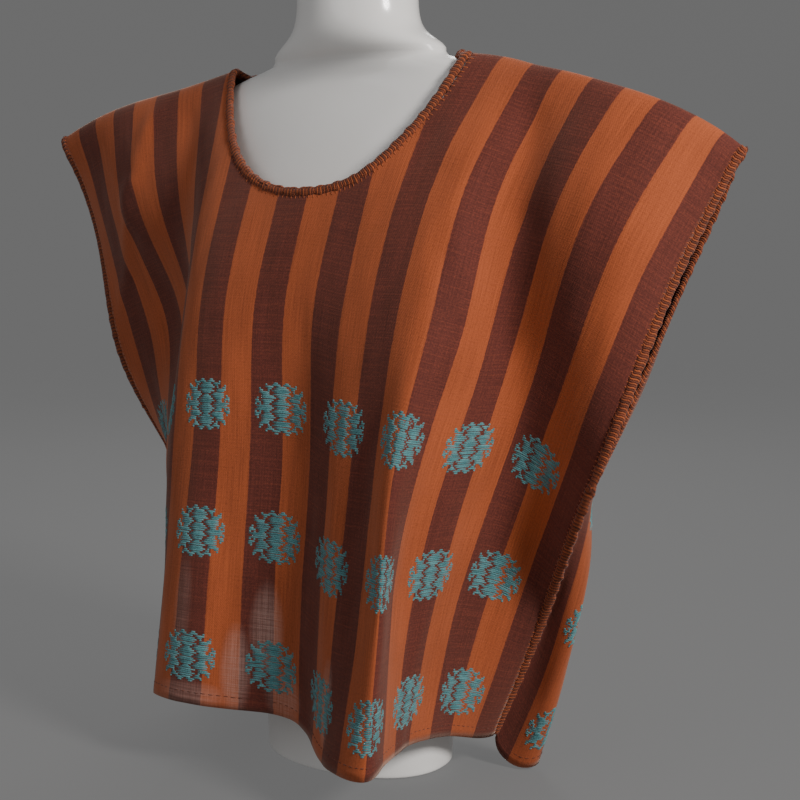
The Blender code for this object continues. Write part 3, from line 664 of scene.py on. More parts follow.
def spun_yarn_group():
    """Twist, fuzz and uneven dye of spun yarn: a mask for its colour and a height for its bump."""
    group, n, given, out = new_group(
        "spun_yarn",
        [("Place", "NodeSocketVector", None), ("Twist", "NodeSocketFloat", 1400.0),
         ("Fuzz", "NodeSocketFloat", 1500.0)],
        [("Dye", "NodeSocketFloat"), ("Height", "NodeSocketFloat")])
    apart = n.add("ShaderNodeSeparateXYZ", {"Vector": given.outputs["Place"]})
    slant = n.math("ADD", apart.outputs["X"], n.math("MULTIPLY", apart.outputs["Y"], 0.9))
    twist = n.math("SINE", n.math("MULTIPLY", slant, given.outputs["Twist"]))
    fuzz = n.noise(given.outputs["Place"], given.outputs["Fuzz"], 3.0, 0.6)
    slow = n.noise(given.outputs["Place"], 60.0, 2.0)
    n.put(out.inputs["Dye"], n.math("ADD", n.math("MULTIPLY", fuzz, 0.55), n.math("MULTIPLY", slow, 0.45)))
    n.put(out.inputs["Height"], n.math("ADD", n.math("MULTIPLY", twist, 0.5), fuzz))
    return group


def striped_weave_group():
    """Plain weave in warp stripes: the colour of each place, its roughness and its height.

    The UV map is in metres on the flat cloth: across it from the wearer's right, and along its warp.
    """
    group, n, given, out = new_group(
        "striped_weave",
        [("Place", "NodeSocketVector", None), ("Orange", "NodeSocketColor", None),
         ("Maroon", "NodeSocketColor", None), ("Weft", "NodeSocketColor", None),
         ("Open weave backlight", "NodeSocketColor", None), ("Stripe", "NodeSocketFloat", STRIPE_WIDTH)],
        [("Color", "NodeSocketColor"), ("Roughness", "NodeSocketFloat"), ("Height", "NodeSocketFloat")])
    place_in = given.outputs["Place"]
    apart = n.add("ShaderNodeSeparateXYZ", {"Vector": place_in})
    across, along = apart.outputs["X"], apart.outputs["Y"]
    # stripe edges wander by a thread here and there
    drift = n.math("SUBTRACT", n.noise(n.stretch(place_in, 40.0, 260.0), 1.0, 2.0), 0.5)
    wander = n.math("MULTIPLY", drift, STRIPE_WANDER)
    moved = n.math("DIVIDE", n.math("ADD", across, wander), given.outputs["Stripe"])
    turn = n.math("MULTIPLY", moved, np.pi)
    maroon_share = n.steps(n.math("SINE", turn), 0.05, -0.05)
    # each thread has its own depth of dye: long streaks along the warp, short ones along the weft
    warp_streak = n.noise(n.stretch(place_in, 900.0, 16.0), 1.0, 3.0, 0.7)
    weft_streak = n.noise(n.stretch(place_in, 22.0, 800.0), 1.0, 3.0, 0.7)
    speckle = n.noise(n.stretch(place_in, 620.0, 700.0), 1.0, 2.0, 0.6)
    cloudy = n.noise(place_in, 14.0, 3.0)
    dye = n.mix(maroon_share, given.outputs["Orange"], given.outputs["Maroon"])
    weft_shows = n.math("MULTIPLY", n.steps(n.math("ADD", n.math("MULTIPLY", weft_streak, 0.6),
                                                   n.math("MULTIPLY", speckle, 0.4)), 0.44, 0.66), 0.34)
    dye = n.mix(weft_shows, dye, given.outputs["Weft"])
    light = n.math("ADD", n.math("MULTIPLY", warp_streak, 1.0), n.math("MULTIPLY", cloudy, 0.45))
    light = n.math("ADD", light, n.math("MULTIPLY", speckle, 0.9))
    light = n.math("ADD", light, n.math("MULTIPLY", weft_streak, 0.5))
    tone = n.add("ShaderNodeCombineColor", {0: n.math("SUBTRACT", light, 0.38),
                                            1: n.math("SUBTRACT", light, 0.40),
                                            2: n.math("SUBTRACT", light, 0.40)})
    dye = n.mix(1.0, dye, tone.outputs[0], "MULTIPLY")
    # the two threads of a plain weave, over and under in turn
    warp_turn = n.math("SINE", n.math("MULTIPLY", across, 2 * np.pi * THREADS[0]))
    weft_turn = n.math("SINE", n.math("MULTIPLY", along, 2 * np.pi * THREADS[1]))
    weave = n.math("MULTIPLY", warp_turn, weft_turn)
    height = n.math("ADD", n.math("MULTIPLY", weave, 0.25), n.math("MULTIPLY", warp_streak, 0.8))
    height = n.math("ADD", height, n.math("MULTIPLY", weft_streak, 0.9))
    # thin places low down in the middle of the front: the weave is open there, and the light coming through
    # it from behind is painted in as a paler colour
    backlit_thin = None
    for s_at, v_at, wide, tall, strength in BACKLIT_THIN_PLACES:
        dx = n.math("DIVIDE", n.math("SUBTRACT", across, s_at * STRIPE_WIDTH), wide)
        dy = n.math("DIVIDE", n.math("ADD", along, v_at), tall)
        far = n.math("ADD", n.math("MULTIPLY", dx, dx), n.math("MULTIPLY", dy, dy))
        spot = n.math("MULTIPLY", n.steps(far, 1.0, 0.0), strength)
        backlit_thin = spot if backlit_thin is None else n.math("MAXIMUM", backlit_thin, spot)
    mesh_lines = n.steps(n.math("ADD", n.math("MULTIPLY", warp_streak, 0.5),
                                n.math("MULTIPLY", weft_streak, 0.5)), 0.40, 0.60)
    backlit_thin = n.math("MULTIPLY", backlit_thin, n.math("ADD", n.math("MULTIPLY", mesh_lines, 0.6), 0.4))
    # painted backlight: the thin places take the paler colour of light shining through the open weave
    n.put(out.inputs["Color"], n.mix(backlit_thin, dye, given.outputs["Open weave backlight"]))
    n.put(out.inputs["Roughness"], n.math("ADD", n.math("MULTIPLY", speckle, 0.14), 0.74))
    n.put(out.inputs["Height"], height)
    return group


def new_material(name):
    """A material with one shader; its nodes come from the groups."""
    material = bpy.data.materials.new(name)
    material.use_nodes = True
    nodes = Nodes(material.node_tree)
    return material, nodes, material.node_tree.nodes["Principled BSDF"]


def on_map(nodes):
    return nodes.add("ShaderNodeTexCoord").outputs["UV"]


def woven_cloth():
    material, n, shader = new_material("woven_cloth")
    weave = n.add("ShaderNodeGroup", node_tree=STRIPED_WEAVE)
    # the last colour is painted light from behind, shown through the thin places of the weave
    for label, value in (("Place", on_map(n)), ("Orange", (0.40, 0.092, 0.030, 1.0)),
                         ("Maroon", (0.120, 0.028, 0.020, 1.0)), ("Weft", (0.24, 0.055, 0.026, 1.0)),
                         ("Open weave backlight", (0.62, 0.42, 0.36, 1.0))):
        n.put(weave.inputs[label], value)
    bump = n.add("ShaderNodeBump", {"Strength": 0.55, "Distance": 0.00035,
                                    "Height": weave.outputs["Height"]})
    n.put(shader.inputs["Base Color"], weave.outputs["Color"])
    n.put(shader.inputs["Roughness"], weave.outputs["Roughness"])
    n.put(shader.inputs["Normal"], bump.outputs["Normal"])
    shader.inputs["Sheen Weight"].default_value = 0.34
    shader.inputs["Sheen Roughness"].default_value = 0.45
    shader.inputs["Sheen Tint"].default_value = (1.0, 0.72, 0.58, 1.0)
    shader.inputs["Specular IOR Level"].default_value = 0.22
    return material


def yarn(name, dark, light, twist, roughness=0.75, sheen=0.2):
    """Spun yarn between a dark and a light tone of its dye."""
    material, n, shader = new_material(name)
    spun = n.add("ShaderNodeGroup", {"Place": on_map(n), "Twist": twist}, node_tree=SPUN_YARN)
    shade = n.steps(spun.outputs["Dye"], 0.34, 0.66)
    n.put(shader.inputs["Base Color"], n.mix(shade, dark, light))
    bump = n.add("ShaderNodeBump", {"Strength": 0.5, "Distance": 0.0002, "Height": spun.outputs["Height"]})
    n.put(shader.inputs["Normal"], bump.outputs["Normal"])
    n.put(shader.inputs["Roughness"], n.math("ADD", n.math("MULTIPLY", shade, 0.12), roughness - 0.06))
    shader.inputs["Sheen Weight"].default_value = sheen
    shader.inputs["Specular IOR Level"].default_value = 0.3
    return material


def glossy_shell():
    """The form's smooth white shell: faint mottling of its lacquer and of its gloss."""
    material, n, shader = new_material("form_shell")
    at = n.add("ShaderNodeTexCoord").outputs["Object"]
    mottle = n.noise(at, 9.0, 3.0)
    fine = n.noise(at, 160.0, 2.0)
    n.put(shader.inputs["Base Color"], n.mix(n.steps(mottle, 0.3, 0.7), (0.90, 0.875, 0.845, 1.0),
                                             (0.94, 0.925, 0.90, 1.0)))
    n.put(shader.inputs["Roughness"], n.math("ADD", n.math("MULTIPLY", mottle, 0.10), 0.16))
    bump = n.add("ShaderNodeBump", {"Strength": 0.06, "Distance": 0.0004,
                                    "Height": n.math("ADD", n.math("MULTIPLY", mottle, 3.0), fine)})
    n.put(shader.inputs["Normal"], bump.outputs["Normal"])
    shader.inputs["Coat Weight"].default_value = 0.35
    shader.inputs["Coat Roughness"].default_value = 0.08
    return material


def backdrop_grey():
    """Even grey of the photograph's ground: mostly its own glow, so that it shows no horizon."""
    material, n, shader = new_material("backdrop_grey")
    at = n.add("ShaderNodeTexCoord").outputs["Object"]
    n.put(shader.inputs["Base Color"], n.mix(n.noise(at, 3.0), (0.050, 0.050, 0.050, 1.0),
                                             (0.056, 0.056, 0.056, 1.0)))
    n.put(shader.inputs["Roughness"], 0.9)
    shader.inputs["Emission Color"].default_value = (1.0, 1.0, 1.0, 1.0)
    shader.inputs["Emission Strength"].default_value = 0.135
    return material


# Meshes from grids
def grid_faces(index, flip=False):
    """Quads of a grid of point numbers."""
    quads = np.stack([index[:-1, :-1], index[:-1, 1:], index[1:, 1:], index[1:, :-1]], axis=-1)
    return (quads[..., ::-1] if flip else quads).reshape(-1, 4)


def new_piece(name, points, faces, uv, material):
    """A mesh piece from whole arrays; uv holds one place on the map for each corner of each face."""
    mesh = bpy.data.meshes.new(name)
    mesh.from_pydata(points.reshape(-1, 3), [], faces)
    layer = mesh.uv_layers.new(name="cloth_map")
    layer.data.foreach_set("uv", np.ascontiguousarray(uv, np.float32).ravel())
    mesh.shade_smooth()
    mesh.materials.append(material)
    piece = bpy.data.objects.new(name, mesh)
    bpy.context.scene.collection.objects.link(piece)
    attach(piece, "root")
    return piece


def add_wall(piece, thickness):
    wall = piece.modifiers.new("wall", "SOLIDIFY")
    wall.thickness = thickness
    wall.offset = 0.0


# The surface of the cloth
def creases(table, stripe, down):
    """Height of the creases: each is a soft ridge or trough along a short line, fading at both ends."""
    rise = np.zeros(np.broadcast(stripe, down).shape)
    x, y = stripe * STRIPE_WIDTH, down
    for s_a, v_a, s_b, v_b, wide, high in table:
        start = np.array([s_a * STRIPE_WIDTH, v_a * CM])
        line = np.array([s_b * STRIPE_WIDTH, v_b * CM]) - start
        size = line @ line
        share = ((x - start[0]) * line[0] + (y - start[1]) * line[1]) / size
        off = ((x - start[0]) * line[1] - (y - start[1]) * line[0]) / np.sqrt(size)
        # the line bows a little, and its width changes from end to end
        bow = off + 0.004 * np.sin(np.pi * np.clip(share, 0, 1)) * np.sign(high)
        fade = np.exp(-np.clip(np.abs(share - 0.5) - 0.32, 0, None) ** 2 / 0.035)
        spread = wide * CM * (0.8 + 0.5 * np.clip(share, 0, 1))
        rise += high * 0.001 * fade * np.exp(-(bow / spread) ** 2)
    return rise


def cockles(stripe, down):
    """Slow unevenness: a sum of slanting waves across the whole cloth."""
    return sum(high * 0.001 * np.sin(2 * np.pi * (a * stripe / STRIPE_COUNT + b * down) + c)
               for a, b, c, high in COCKLES)


def flat_normals(sheet, stripe, down, side):
    """Unit normals of the smooth sheet, away from the body."""
    small = 0.06
    across = (place(sheet, np.minimum(stripe + small, STRIPE_COUNT), down)
              - place(sheet, np.maximum(stripe - small, 0), down))
    along = (place(sheet, stripe, np.minimum(down + 0.003, PANEL_LENGTH))
             - place(sheet, stripe, np.maximum(down - 0.003, 0)))
    return unit(np.cross(across, along) * side)


def surface(side, stripe, down, lift=0.0):
    """The cloth's surface with its creases, at any places, lifted off along its normals."""
    stripe, down = np.broadcast_arrays(np.asarray(stripe, float), np.asarray(down, float))
    sheet = SHEETS[side]
    out = flat_normals(sheet, stripe, down, side)
    rise = creases(FRONT_CREASES if side < 0 else BACK_CREASES, stripe, down) + cockles(stripe, down)
    # relief fades out at the fold, and at the sides where the edging holds the cloth
    calm = np.clip(down / 0.03, 0, 1) * np.clip(np.minimum(stripe, STRIPE_COUNT - stripe) / 1.2, 0.15, 1)
    hem = HEM_RISE * np.clip((down - PANEL_LENGTH + HEM_WIDTH) / 0.001, 0, 1)
    return place(sheet, stripe, down) + (rise * calm + hem + lift)[..., None] * out


def cloth_map(side, stripe, down):
    """Place on the flat cloth in metres: the front runs down from the fold and the back runs up."""
    return np.stack(np.broadcast_arrays(stripe * STRIPE_WIDTH, side * down), axis=-1)


def panel_grid(side):
    """Stripe place and distance down the warp at each point of a panel's mesh."""
    trim = EDGE_TRIM / STRIPE_WIDTH
    stripe, down = neck_of(side, EDGE_TRIM)
    top_stripe = np.concatenate([np.linspace(trim, stripe[0], COLUMNS_SHOULDER + 1)[:-1], stripe,
                                 np.linspace(stripe[-1], STRIPE_COUNT - trim, COLUMNS_SHOULDER + 1)[1:]])
    fold = np.zeros(COLUMNS_SHOULDER)
    top_down = np.concatenate([fold, down, fold])
    bottom_stripe = np.linspace(trim, STRIPE_COUNT - trim, len(top_stripe))
    share = np.linspace(0.0, 1.0, ROWS_DOWN) ** ROW_SPREAD
    grid_down = top_down[:, None] + share * (PANEL_LENGTH - top_down[:, None])
    grid_stripe = top_stripe[:, None] + grid_down / PANEL_LENGTH * (bottom_stripe - top_stripe)[:, None]
    return grid_stripe, grid_down


def make_cloth(material):
    """One length of cloth: front and back joined along the shoulder fold, open at the neck."""
    grids = {side: panel_grid(side) for side in (-1, 1)}
    points = {side: surface(side, *grids[side]) for side in grids}
    columns, rows = grids[-1][0].shape
    front = np.arange(columns * rows).reshape(columns, rows)
    back = np.zeros((columns, rows), int)
    shared = np.r_[0:COLUMNS_SHOULDER + 1, columns - COLUMNS_SHOULDER - 1:columns]
    own = np.ones((columns, rows), bool)
    own[shared, 0] = False
    back[own] = front.size + np.arange(own.sum())
    back[shared, 0] = front[shared, 0]
    maps = np.concatenate([cloth_map(side, *grids[side]).reshape(-1, 2) for side in (-1, 1)])
    # corners look their place up in either panel's own grid, so that the map is unbroken at the fold
    plain = np.arange(columns * rows).reshape(columns, rows)
    corners = np.concatenate([grid_faces(plain), grid_faces(plain + plain.size, flip=True)])
    faces = np.concatenate([grid_faces(front), grid_faces(back, flip=True)])
    piece = new_piece("woven_cloth", np.concatenate([points[-1].reshape(-1, 3), points[1][own]]), faces,
                      maps[corners.ravel()], material)
    add_wall(piece, CLOTH_THICKNESS)
    return piece


def bars(name, ends, side_of, wide, high, material, slot, seed):
    """Short floats of yarn lying on the cloth: each is a bar with a rounded back, sunk in at both ends.

    ends holds stripe place and distance down at the start and at the end of each bar. Rings of four
    points run along it: its two foot points, just in the cloth, and its two crown points above.
    """
    rng = np.random.default_rng(seed)
    share = np.linspace(0.0, 1.0, FLOAT_RINGS)
    count = len(ends)
    metric = np.array([STRIPE_WIDTH, 1.0])
    start, run = ends[:, 0] * metric, (ends[:, 1] - ends[:, 0]) * metric
    length = np.linalg.norm(run, axis=-1, keepdims=True)
    ahead = run / length
    beside_it = np.stack([-ahead[:, 1], ahead[:, 0]], axis=-1)
    swell = np.sin(np.pi * (0.10 + 0.80 * share))
    across = np.array([-0.5, -0.28, 0.28, 0.5])
    lifted = np.array([0.0, 1.0, 1.0, 0.0])
    depth = high * rng.uniform(0.75, 1.2, (count, 1, 1))
    sway = rng.normal(0.0, FLOAT_SWAY, (count, 1, 2))
    flat = start[:, None] + sway + share[None, :, None] * run[:, None]
    flat = flat[:, :, None] + across[None, None, :, None] * (wide * (0.72 + 0.28 * swell))[
        None, :, None, None] * beside_it[:, None, None]
    lift = CLOTH_THICKNESS / 2 - FLOAT_SINK + lifted * depth * swell[None, :, None]
    stripe, down = flat[..., 0] / STRIPE_WIDTH, flat[..., 1]
    down = np.clip(down, 0.0, PANEL_LENGTH)
    points = np.where((side_of < 0)[:, None, None, None], surface(-1, stripe, down, lift),
                      surface(1, stripe, down, lift))
    ring = np.arange(4)
    base = np.arange(FLOAT_RINGS)[:, None] * 4
    index = base + ring
    after = base + np.roll(ring, -1)
    quads = np.stack([index[:-1], index[1:], after[1:], after[:-1]], axis=-1).reshape(-1, 4)
    quads = np.concatenate([quads, [[0, 1, 2, 3]], [[4 * FLOAT_RINGS - 1 - k for k in range(4)]]])
    faces = (np.arange(count)[:, None, None] * 4 * FLOAT_RINGS + quads).reshape(-1, 4)
    # the two directions of the map run along the bar and round it
    round_it = np.tile(np.array([0.0, 0.3, 0.7, 1.0]) * FLOAT_MAP_WIDTH, (count, FLOAT_RINGS, 1))
    along = share[None, :, None] * length[:, None] + rng.uniform(0, 1, (count, 1, 1)) + 0 * round_it
    maps = np.stack([along, round_it], axis=-1).reshape(-1, 2)
    outward = face_out(points.reshape(-1, 3), faces)
    return new_piece(name, points, outward, maps[faces.ravel()], material)


def face_out(points, faces):
    """Faces of many small closed bars, turned to face out if their volume counts as negative."""
    a, b, c, d = (points[faces[:, k]] for k in range(4))
    middle = points.mean(axis=0)
    volume = np.sum(np.cross(b - a, c - a) * (a - middle)) + np.sum(np.cross(c - a, d - a) * (a - middle))
    return faces[:, ::-1] if volume < 0 else faces


def star_runs():
    """The star's chart as runs of cells: first and last edge across and row, counted from the middle."""
    quarter = np.array([[cell == "#" for cell in row] for row in STAR_QUARTER])
    half = np.concatenate([quarter, quarter[-2::-1]])
    chart = np.concatenate([half[:, :0:-1], half], axis=1)
    padded = np.pad(chart, ((0, 0), (1, 1))).astype(int)
    turn = np.diff(padded, axis=1)
    row, first = np.nonzero(turn == 1)
    last = np.nonzero(turn == -1)[1]
    middle_row, middle = (len(chart) - 1) / 2, chart.shape[1] / 2
    return np.stack([first - middle, last - middle, row - middle_row], axis=-1)


def make_stars(material):
    """Nine stars in each of three rows, front and back: supplementary weft floats, one bar for each run."""
    runs = star_runs()
    wide, tall = STAR_CELL
    rng = np.random.default_rng(5)
    pieces = []
    for name, side in (("stars_front", -1), ("stars_back", 1)):
        centres = np.array([(stripe, down) for down in STAR_ROWS for stripe in STAR_STRIPES])
        # no star sits quite true
        centres = centres + rng.normal(0, 1, centres.shape) * STAR_STRAY
        across = centres[:, :1, None] + runs[None, :, :2] * wide / STRIPE_WIDTH
        down = centres[:, 1:, None] + (runs[None, :, 2] * tall)[..., None] + 0 * across
        ends = np.stack([across, down], axis=-1).reshape(-1, 2, 2)
        pieces.append(bars(name, ends, np.full(len(ends), side), tall * FLOAT_OVERLAP, FLOAT_HEIGHT,
                           material, "woven_cloth", 11 + side))
    return pieces


def tube(name, path, radius, sides, closed, material):
    """A round yarn carried along a path: rings of points square to it."""
    before, after = np.roll(path, 1, axis=0), np.roll(path, -1, axis=0)
    if not closed:
        before[0], after[-1] = path[0], path[-1]
    along = unit(after - before)
    up = np.array([0.31, 0.52, 0.79])
    first = unit(np.cross(along, up))
    second = np.cross(along, first)
    turn = np.linspace(0.0, 2 * np.pi, sides, endpoint=False)[None, :, None]
    points = path[:, None] + radius * (np.cos(turn) * first[:, None] + np.sin(turn) * second[:, None])
    count = len(path)
    index = np.arange(count * sides).reshape(count, sides)
    rows = np.vstack([index, index[:1]]) if closed else index
    wrap = np.concatenate([rows, rows[:, :1]], axis=1)
    faces = grid_faces(wrap)
    size = np.linalg.norm(np.diff(np.vstack([path, path[:1]]), axis=0), axis=1)
    length = np.concatenate([[0.0], np.cumsum(size)])[:len(rows)]
    girth = np.arange(sides + 1) * 2 * np.pi * radius / sides
    place_on = np.stack(np.meshgrid(length, girth, indexing="ij"), axis=-1)
    corners = grid_faces(np.arange(wrap.size).reshape(wrap.shape))
    faces_list = faces.tolist()
    maps = place_on.reshape(-1, 2)[corners.ravel()]
    if not closed:
        caps = [index[0, ::-1].tolist(), index[-1].tolist()]
        faces_list += caps
        maps = np.concatenate([maps, np.zeros((2 * sides, 2))])
    return new_piece(name, points, faces_list, maps, material)


def resample(path, facing, step, closed=False):
    """The same line in equal steps, with its normals."""
    if closed:
        path, facing = np.vstack([path, path[:1]]), np.vstack([facing, facing[:1]])
    length = np.concatenate([[0.0], np.cumsum(np.linalg.norm(np.diff(path, axis=0), axis=1))])
    count = max(int(round(length[-1] / step)), 8)
    even = np.linspace(0.0, length[-1], count + 1)
    if closed:
        even = even[:-1]
    line, out = (np.stack([np.interp(even, length, values[:, axis]) for axis in range(3)], axis=-1)
                 for values in (path, facing))
    return line, unit(out)


def crochet(name, path, facing, closed):
    """An edging in crochet: two yarns wound round a core, their loops drawn flat against the cloth.

    Each yarn is a helix whose loop is an ellipse, wide in the cloth's own surface and low across it.
    """
    line, out = resample(path, facing, YARN_PITCH / YARN_STEPS, closed)
    ahead = np.roll(line, -1, axis=0) - np.roll(line, 1, axis=0)
    if not closed:
        ahead[0], ahead[-1] = line[1] - line[0], line[-1] - line[-2]
    ahead = unit(ahead)
    aside = unit(np.cross(ahead, out))
    lift = np.cross(aside, ahead)
    count = len(line)
    turns = round(count / YARN_STEPS)
    phase = 2 * np.pi * turns * np.arange(count) / count
    # loops are not all drawn alike
    uneven = 1 + 0.16 * np.sin(phase * 0.217 + 0.7) + 0.10 * np.sin(phase * 0.391)
    pieces = []
    core_step = YARN_STEPS // 2
    pieces.append(tube(name + "_core", line[::core_step], CORE_RADIUS, CORE_SIDES, closed, BROWN_YARN))
    for label, start, dye in (("rust", 0.0, RUST_YARN), ("brown", np.pi, BROWN_YARN)):
        angle = phase + start
        wound = (line + (YARN_REACH[0] * uneven * np.cos(angle))[:, None] * aside
                 + (YARN_REACH[1] * np.sin(angle))[:, None] * lift
                 + (0.25 * YARN_PITCH * np.sin(2 * angle))[:, None] * ahead)
        pieces.append(tube(f"{name}_{label}", wound, YARN_RADIUS, YARN_SIDES, closed, dye))
    return pieces


def neck_loop():
    """The neck hole's edge right round, with the normals of the cloth there."""
    front, back = (neck_of(side, 0.0) for side in (-1, 1))
    path = np.concatenate([surface(-1, *front), surface(1, *back)[-2:0:-1]])
    facing = np.concatenate([flat_normals(SHEETS[-1], *front, -1),
                             flat_normals(SHEETS[1], *back, 1)[-2:0:-1]])
    return path, soften(facing)


def soften(vectors, rounds=6):
    for _ in range(rounds):
        vectors = unit(vectors + 0.5 * (np.roll(vectors, 1, axis=0) + np.roll(vectors, -1, axis=0)))
    return vectors


def side_line(stripe, top, bottom, over_fold):
    """A side edge of the cloth: over the shoulder from front to back, or down the closed seam."""
    down = np.linspace(top, bottom, 160)
    edge = np.full_like(down, stripe)
    front, back = place(SHEETS[-1], edge, down), place(SHEETS[1], edge, down)
    out_front, out_back = (flat_normals(SHEETS[side], np.clip(edge, 0.3, STRIPE_COUNT - 0.3), down, side)
                           for side in (-1, 1))
    if over_fold:
        return (np.concatenate([front[::-1], back[1:]]),
                soften_open(np.concatenate([out_front[::-1], out_back[1:]])))
    return (front + back) / 2, soften_open(unit(out_front + out_back * 0.4))


def soften_open(vectors, rounds=10):
    for _ in range(rounds):
        inner = vectors[1:-1] + 0.5 * (vectors[:-2] + vectors[2:])
        vectors = unit(np.concatenate([vectors[:1], inner, vectors[-1:]]))
    return vectors


def edge_stitches(material):
    """The legs of the edging's stitches, which bite into the cloth all along its edges."""
    groups = []
    for side in (-1, 1):
        stripe, down = neck_of(side, EDGE_TRIM - 0.0005)
        inner_stripe, inner_down = neck_of(side, EDGE_TRIM + EDGE_STITCH_LENGTH)
        size = np.concatenate([[0.0], np.cumsum(np.hypot(np.diff(stripe) * STRIPE_WIDTH, np.diff(down)))])
        at = np.arange(0.002, size[-1] - 0.002, EDGE_STITCH_STEP)
        outer, inner = (np.stack([np.interp(at, size, values) for values in pair], axis=-1)
                        for pair in ((stripe, down), (inner_stripe, inner_down)))
        groups.append((side, np.stack([outer, inner], axis=1)))
        for edge, inward in ((EDGE_TRIM / STRIPE_WIDTH, 1), (STRIPE_COUNT - EDGE_TRIM / STRIPE_WIDTH, -1)):
            at = np.arange(0.003, PANEL_LENGTH - 0.004, EDGE_STITCH_STEP)
            outer = np.stack([np.full_like(at, edge), at], axis=-1)
            inner = outer + [inward * EDGE_STITCH_LENGTH / STRIPE_WIDTH, 0.0008]
            groups.append((side, np.stack([outer, inner], axis=1)))
    ends = np.concatenate([pair for _, pair in groups])
    side_of = np.concatenate([np.full(len(pair), side) for side, pair in groups])
    return bars("edge_stitches", ends, side_of, *EDGE_STITCH, material, "crochet_edging", 21)


def hem_stitches(material):
    """Running stitches that hold the turned hem, one line round the front and one round the back."""
    at = np.arange(0.4, STRIPE_COUNT - 0.4, HEM_STITCH_STEP / STRIPE_WIDTH)
    down = np.full_like(at, PANEL_LENGTH - HEM_WIDTH + HEM_STITCH_RISE)
    ends = np.stack([np.stack([at, down], axis=-1),
                     np.stack([at + HEM_STITCH_LENGTH / STRIPE_WIDTH, down], axis=-1)], axis=1)
    side_of = np.repeat([-1, 1], len(ends))
    return bars("hem_stitches", np.concatenate([ends, ends]), side_of, *HEM_STITCH, material,
                "woven_cloth", 31)


def make_hem(name, side, material):
    """The turned edge inside the panel: a band that rolls over from the cloth's lowest edge."""
    stripe = np.linspace(HEM_SHORT / 2, STRIPE_COUNT - HEM_SHORT / 2, 170)[:, None]
    share = np.linspace(0.0, 1.0, 9)[None, :]
    down = PANEL_LENGTH - HEM_WIDTH * (1 - share)
    inside = CLOTH_THICKNESS * 0.5 + TURN_ROLL * np.sqrt(np.clip(1 - share ** 6, 0, 1)) + TURN_GAP
    grid = np.broadcast_arrays(stripe, down)
    points = surface(side, grid[0], grid[1], -inside - HEM_RISE)
    index = np.arange(points[..., 0].size).reshape(points.shape[:2])
    faces = grid_faces(index, flip=side > 0)
    maps = cloth_map(side, grid[0], grid[1]).reshape(-1, 2)[faces.ravel()]
    piece = new_piece(name, points, faces, maps, material)
    add_wall(piece, TURN_THICKNESS)
    return piece


def make_form(sizes, material):
    """The dress form: rounded level outlines from floor to neck, with a rolled foot and a domed cap.

    At each height the outline is a superellipse whose front and back halves have their own depths.
    """
    base = np.linspace(sizes[0, 0], sizes[-1, 0], 190)
    rows = np.column_stack([base] + [curve(sizes[:, 0], sizes[:, k], base) for k in range(1, 5)])
    foot = np.radians([0.0, 30.0, 60.0])
    rolled = np.column_stack([rows[0, 0] + FORM_ROLL * (1 - np.sin(foot[::-1] + np.radians(30))),
                              *(rows[0, k] - FORM_ROLL * (1 - np.cos(foot[::-1])) for k in (1, 2, 3)),
                              np.full(3, rows[0, 4])])
    rolled[0, 0] = rows[0, 0]
    cap = np.radians(np.linspace(0.0, 90.0, 16)[1:])
    dome = np.column_stack([sizes[-1, 0] + FORM_CAP * np.sin(cap),
                            np.maximum(sizes[-1, 1:4] * np.cos(cap)[:, None], 1e-4),
                            np.full(len(cap), sizes[-1, 4])])
    keep = rows[:, 0] > rows[0, 0] + FORM_ROLL
    profile = np.vstack([rolled, rows[keep], dome])
    heights, wide, front, back, power = (value[:, None] for value in profile.T)
    turn = np.linspace(0.0, 2 * np.pi, FORM_SIDES, endpoint=False)
    cosine, sine = np.cos(turn), np.sin(turn)
    x = wide * np.sign(cosine) * np.abs(cosine) ** (2 / power)
    # front and back halves are blended across the sides, so that no edge shows
    blend = 0.5 - 0.5 * np.tanh(sine * 6) / np.tanh(6)
    depth = back + (front - back) * blend
    y = depth * np.sign(sine) * np.abs(sine) ** (2 / power)
    y = y + FORM_BACK_SHIFT + FORM_SKEW * x
    z = np.broadcast_to(heights, x.shape)
    points = np.stack([x, y, z], axis=-1)
    rings, sides = x.shape
    index = np.arange(rings * sides).reshape(rings, sides)
    wrap = np.concatenate([index, index[:, :1]], axis=1)
    faces = grid_faces(wrap, flip=True).tolist()
    faces += [index[0, ::-1].tolist(), index[-1].tolist()]
    corners = sum(len(face) for face in faces)
    return new_piece("smooth_form", points, faces, np.zeros((corners, 2)), material)


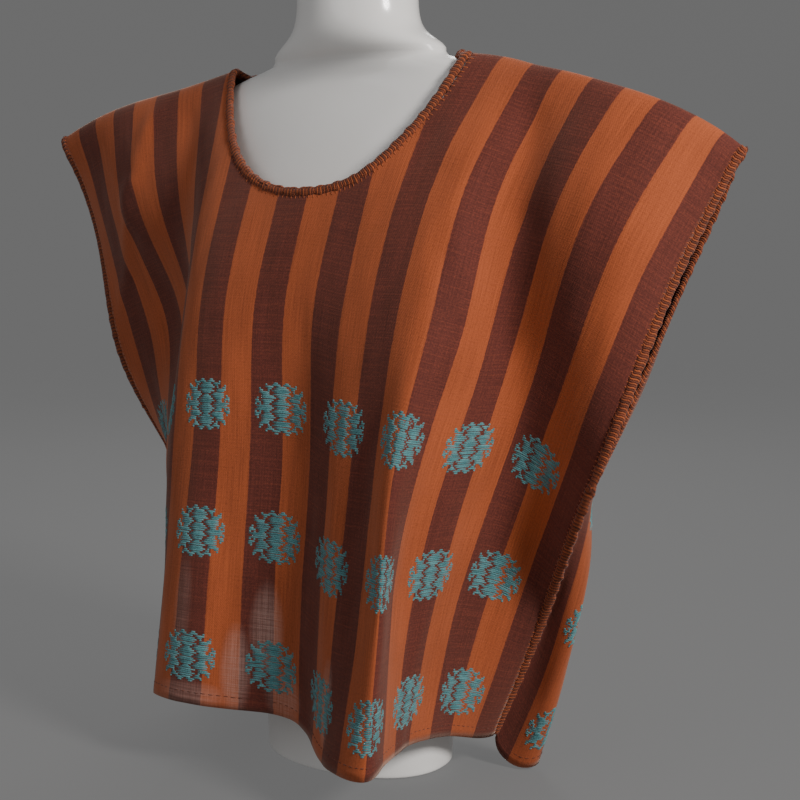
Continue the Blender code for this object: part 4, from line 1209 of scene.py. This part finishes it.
def make_backdrop():
    """A turned dish: a level floor that curves up all round into a low wall."""
    bend = np.linspace(0.0, np.pi / 2, 24)
    rim = BACKDROP_FLOOR + BACKDROP_BEND
    radius = np.concatenate([[0.4, 1.5, 2.8], BACKDROP_FLOOR + BACKDROP_BEND * np.sin(bend), [rim, rim]])
    height = np.concatenate([[0.0, 0.0, 0.0], BACKDROP_BEND * (1 - np.cos(bend)), BACKDROP_WALL])
    height -= BACKDROP_DROP
    turn = np.linspace(0.0, 2 * np.pi, 96, endpoint=False)
    points = np.stack([radius[:, None] * np.cos(turn), radius[:, None] * np.sin(turn),
                       np.repeat(height[:, None], len(turn), axis=1)], axis=-1)
    index = np.arange(points[..., 0].size).reshape(points.shape[:2])
    faces = grid_faces(np.concatenate([index, index[:, :1]], axis=1), flip=True).tolist()
    faces.append(index[0].tolist())
    mesh = bpy.data.meshes.new("backdrop")
    mesh.from_pydata(points.reshape(-1, 3), [], faces)
    mesh.shade_smooth()
    mesh.materials.append(backdrop_grey())
    backdrop = bpy.data.objects.new("backdrop", mesh)
    bpy.context.scene.collection.objects.link(backdrop)
    return backdrop


# The cloth's sheets, as in the part's source
shoulder_line = curve([row[0] for row in SHOULDER], np.array([row[1:] for row in SHOULDER]) * CM, STRIPES)
front_sheet = hang_front(shoulder_line)
outlines = form_sizes()
back_sheet = hang_back(shoulder_line, front_sheet, outlines)
SHEETS = {-1: front_sheet, 1: back_sheet}

SPUN_YARN = spun_yarn_group()
STRIPED_WEAVE = striped_weave_group()
CLOTH = woven_cloth()
TEAL_YARN = yarn("teal_yarn", (0.030, 0.140, 0.155, 1.0), (0.15, 0.38, 0.40, 1.0), 5200.0)
RUST_YARN = yarn("rust_yarn", (0.19, 0.040, 0.013, 1.0), (0.46, 0.110, 0.030, 1.0), 4200.0)
BROWN_YARN = yarn("brown_yarn", (0.060, 0.016, 0.009, 1.0), (0.22, 0.050, 0.020, 1.0), 4200.0)

cloth = make_cloth(CLOTH)
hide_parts("cloth")
stars = make_stars(TEAL_YARN)
hem_front = make_hem("turned_hem_front", -1, CLOTH)
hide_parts("hem_front")
hem_back = make_hem("turned_hem_back", 1, CLOTH)
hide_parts("hem_back")
sewing = [edge_stitches(RUST_YARN), hem_stitches(BROWN_YARN)]

edgings = []
neck_pieces = crochet("neck_crochet", *neck_loop(), closed=True)
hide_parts("neck_edging")
edgings += neck_pieces
for label, stripe in (("right", 0.0), ("left", float(STRIPE_COUNT))):
    armhole = crochet(f"armhole_crochet_{label}", *side_line(stripe, 0.0, ARMHOLE_DEPTH, True),
                      closed=False)
    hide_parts(f"armhole_edging_{label}")
    seam = crochet(f"seam_crochet_{label}", *side_line(stripe, ARMHOLE_DEPTH, PANEL_LENGTH - 0.001, False),
                   closed=False)
    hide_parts(f"side_seam_{label}")
    edgings += armhole + seam

form = make_form(outlines, glossy_shell())
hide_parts("dress_form")

make_backdrop()

bpy.context.view_layer.update()
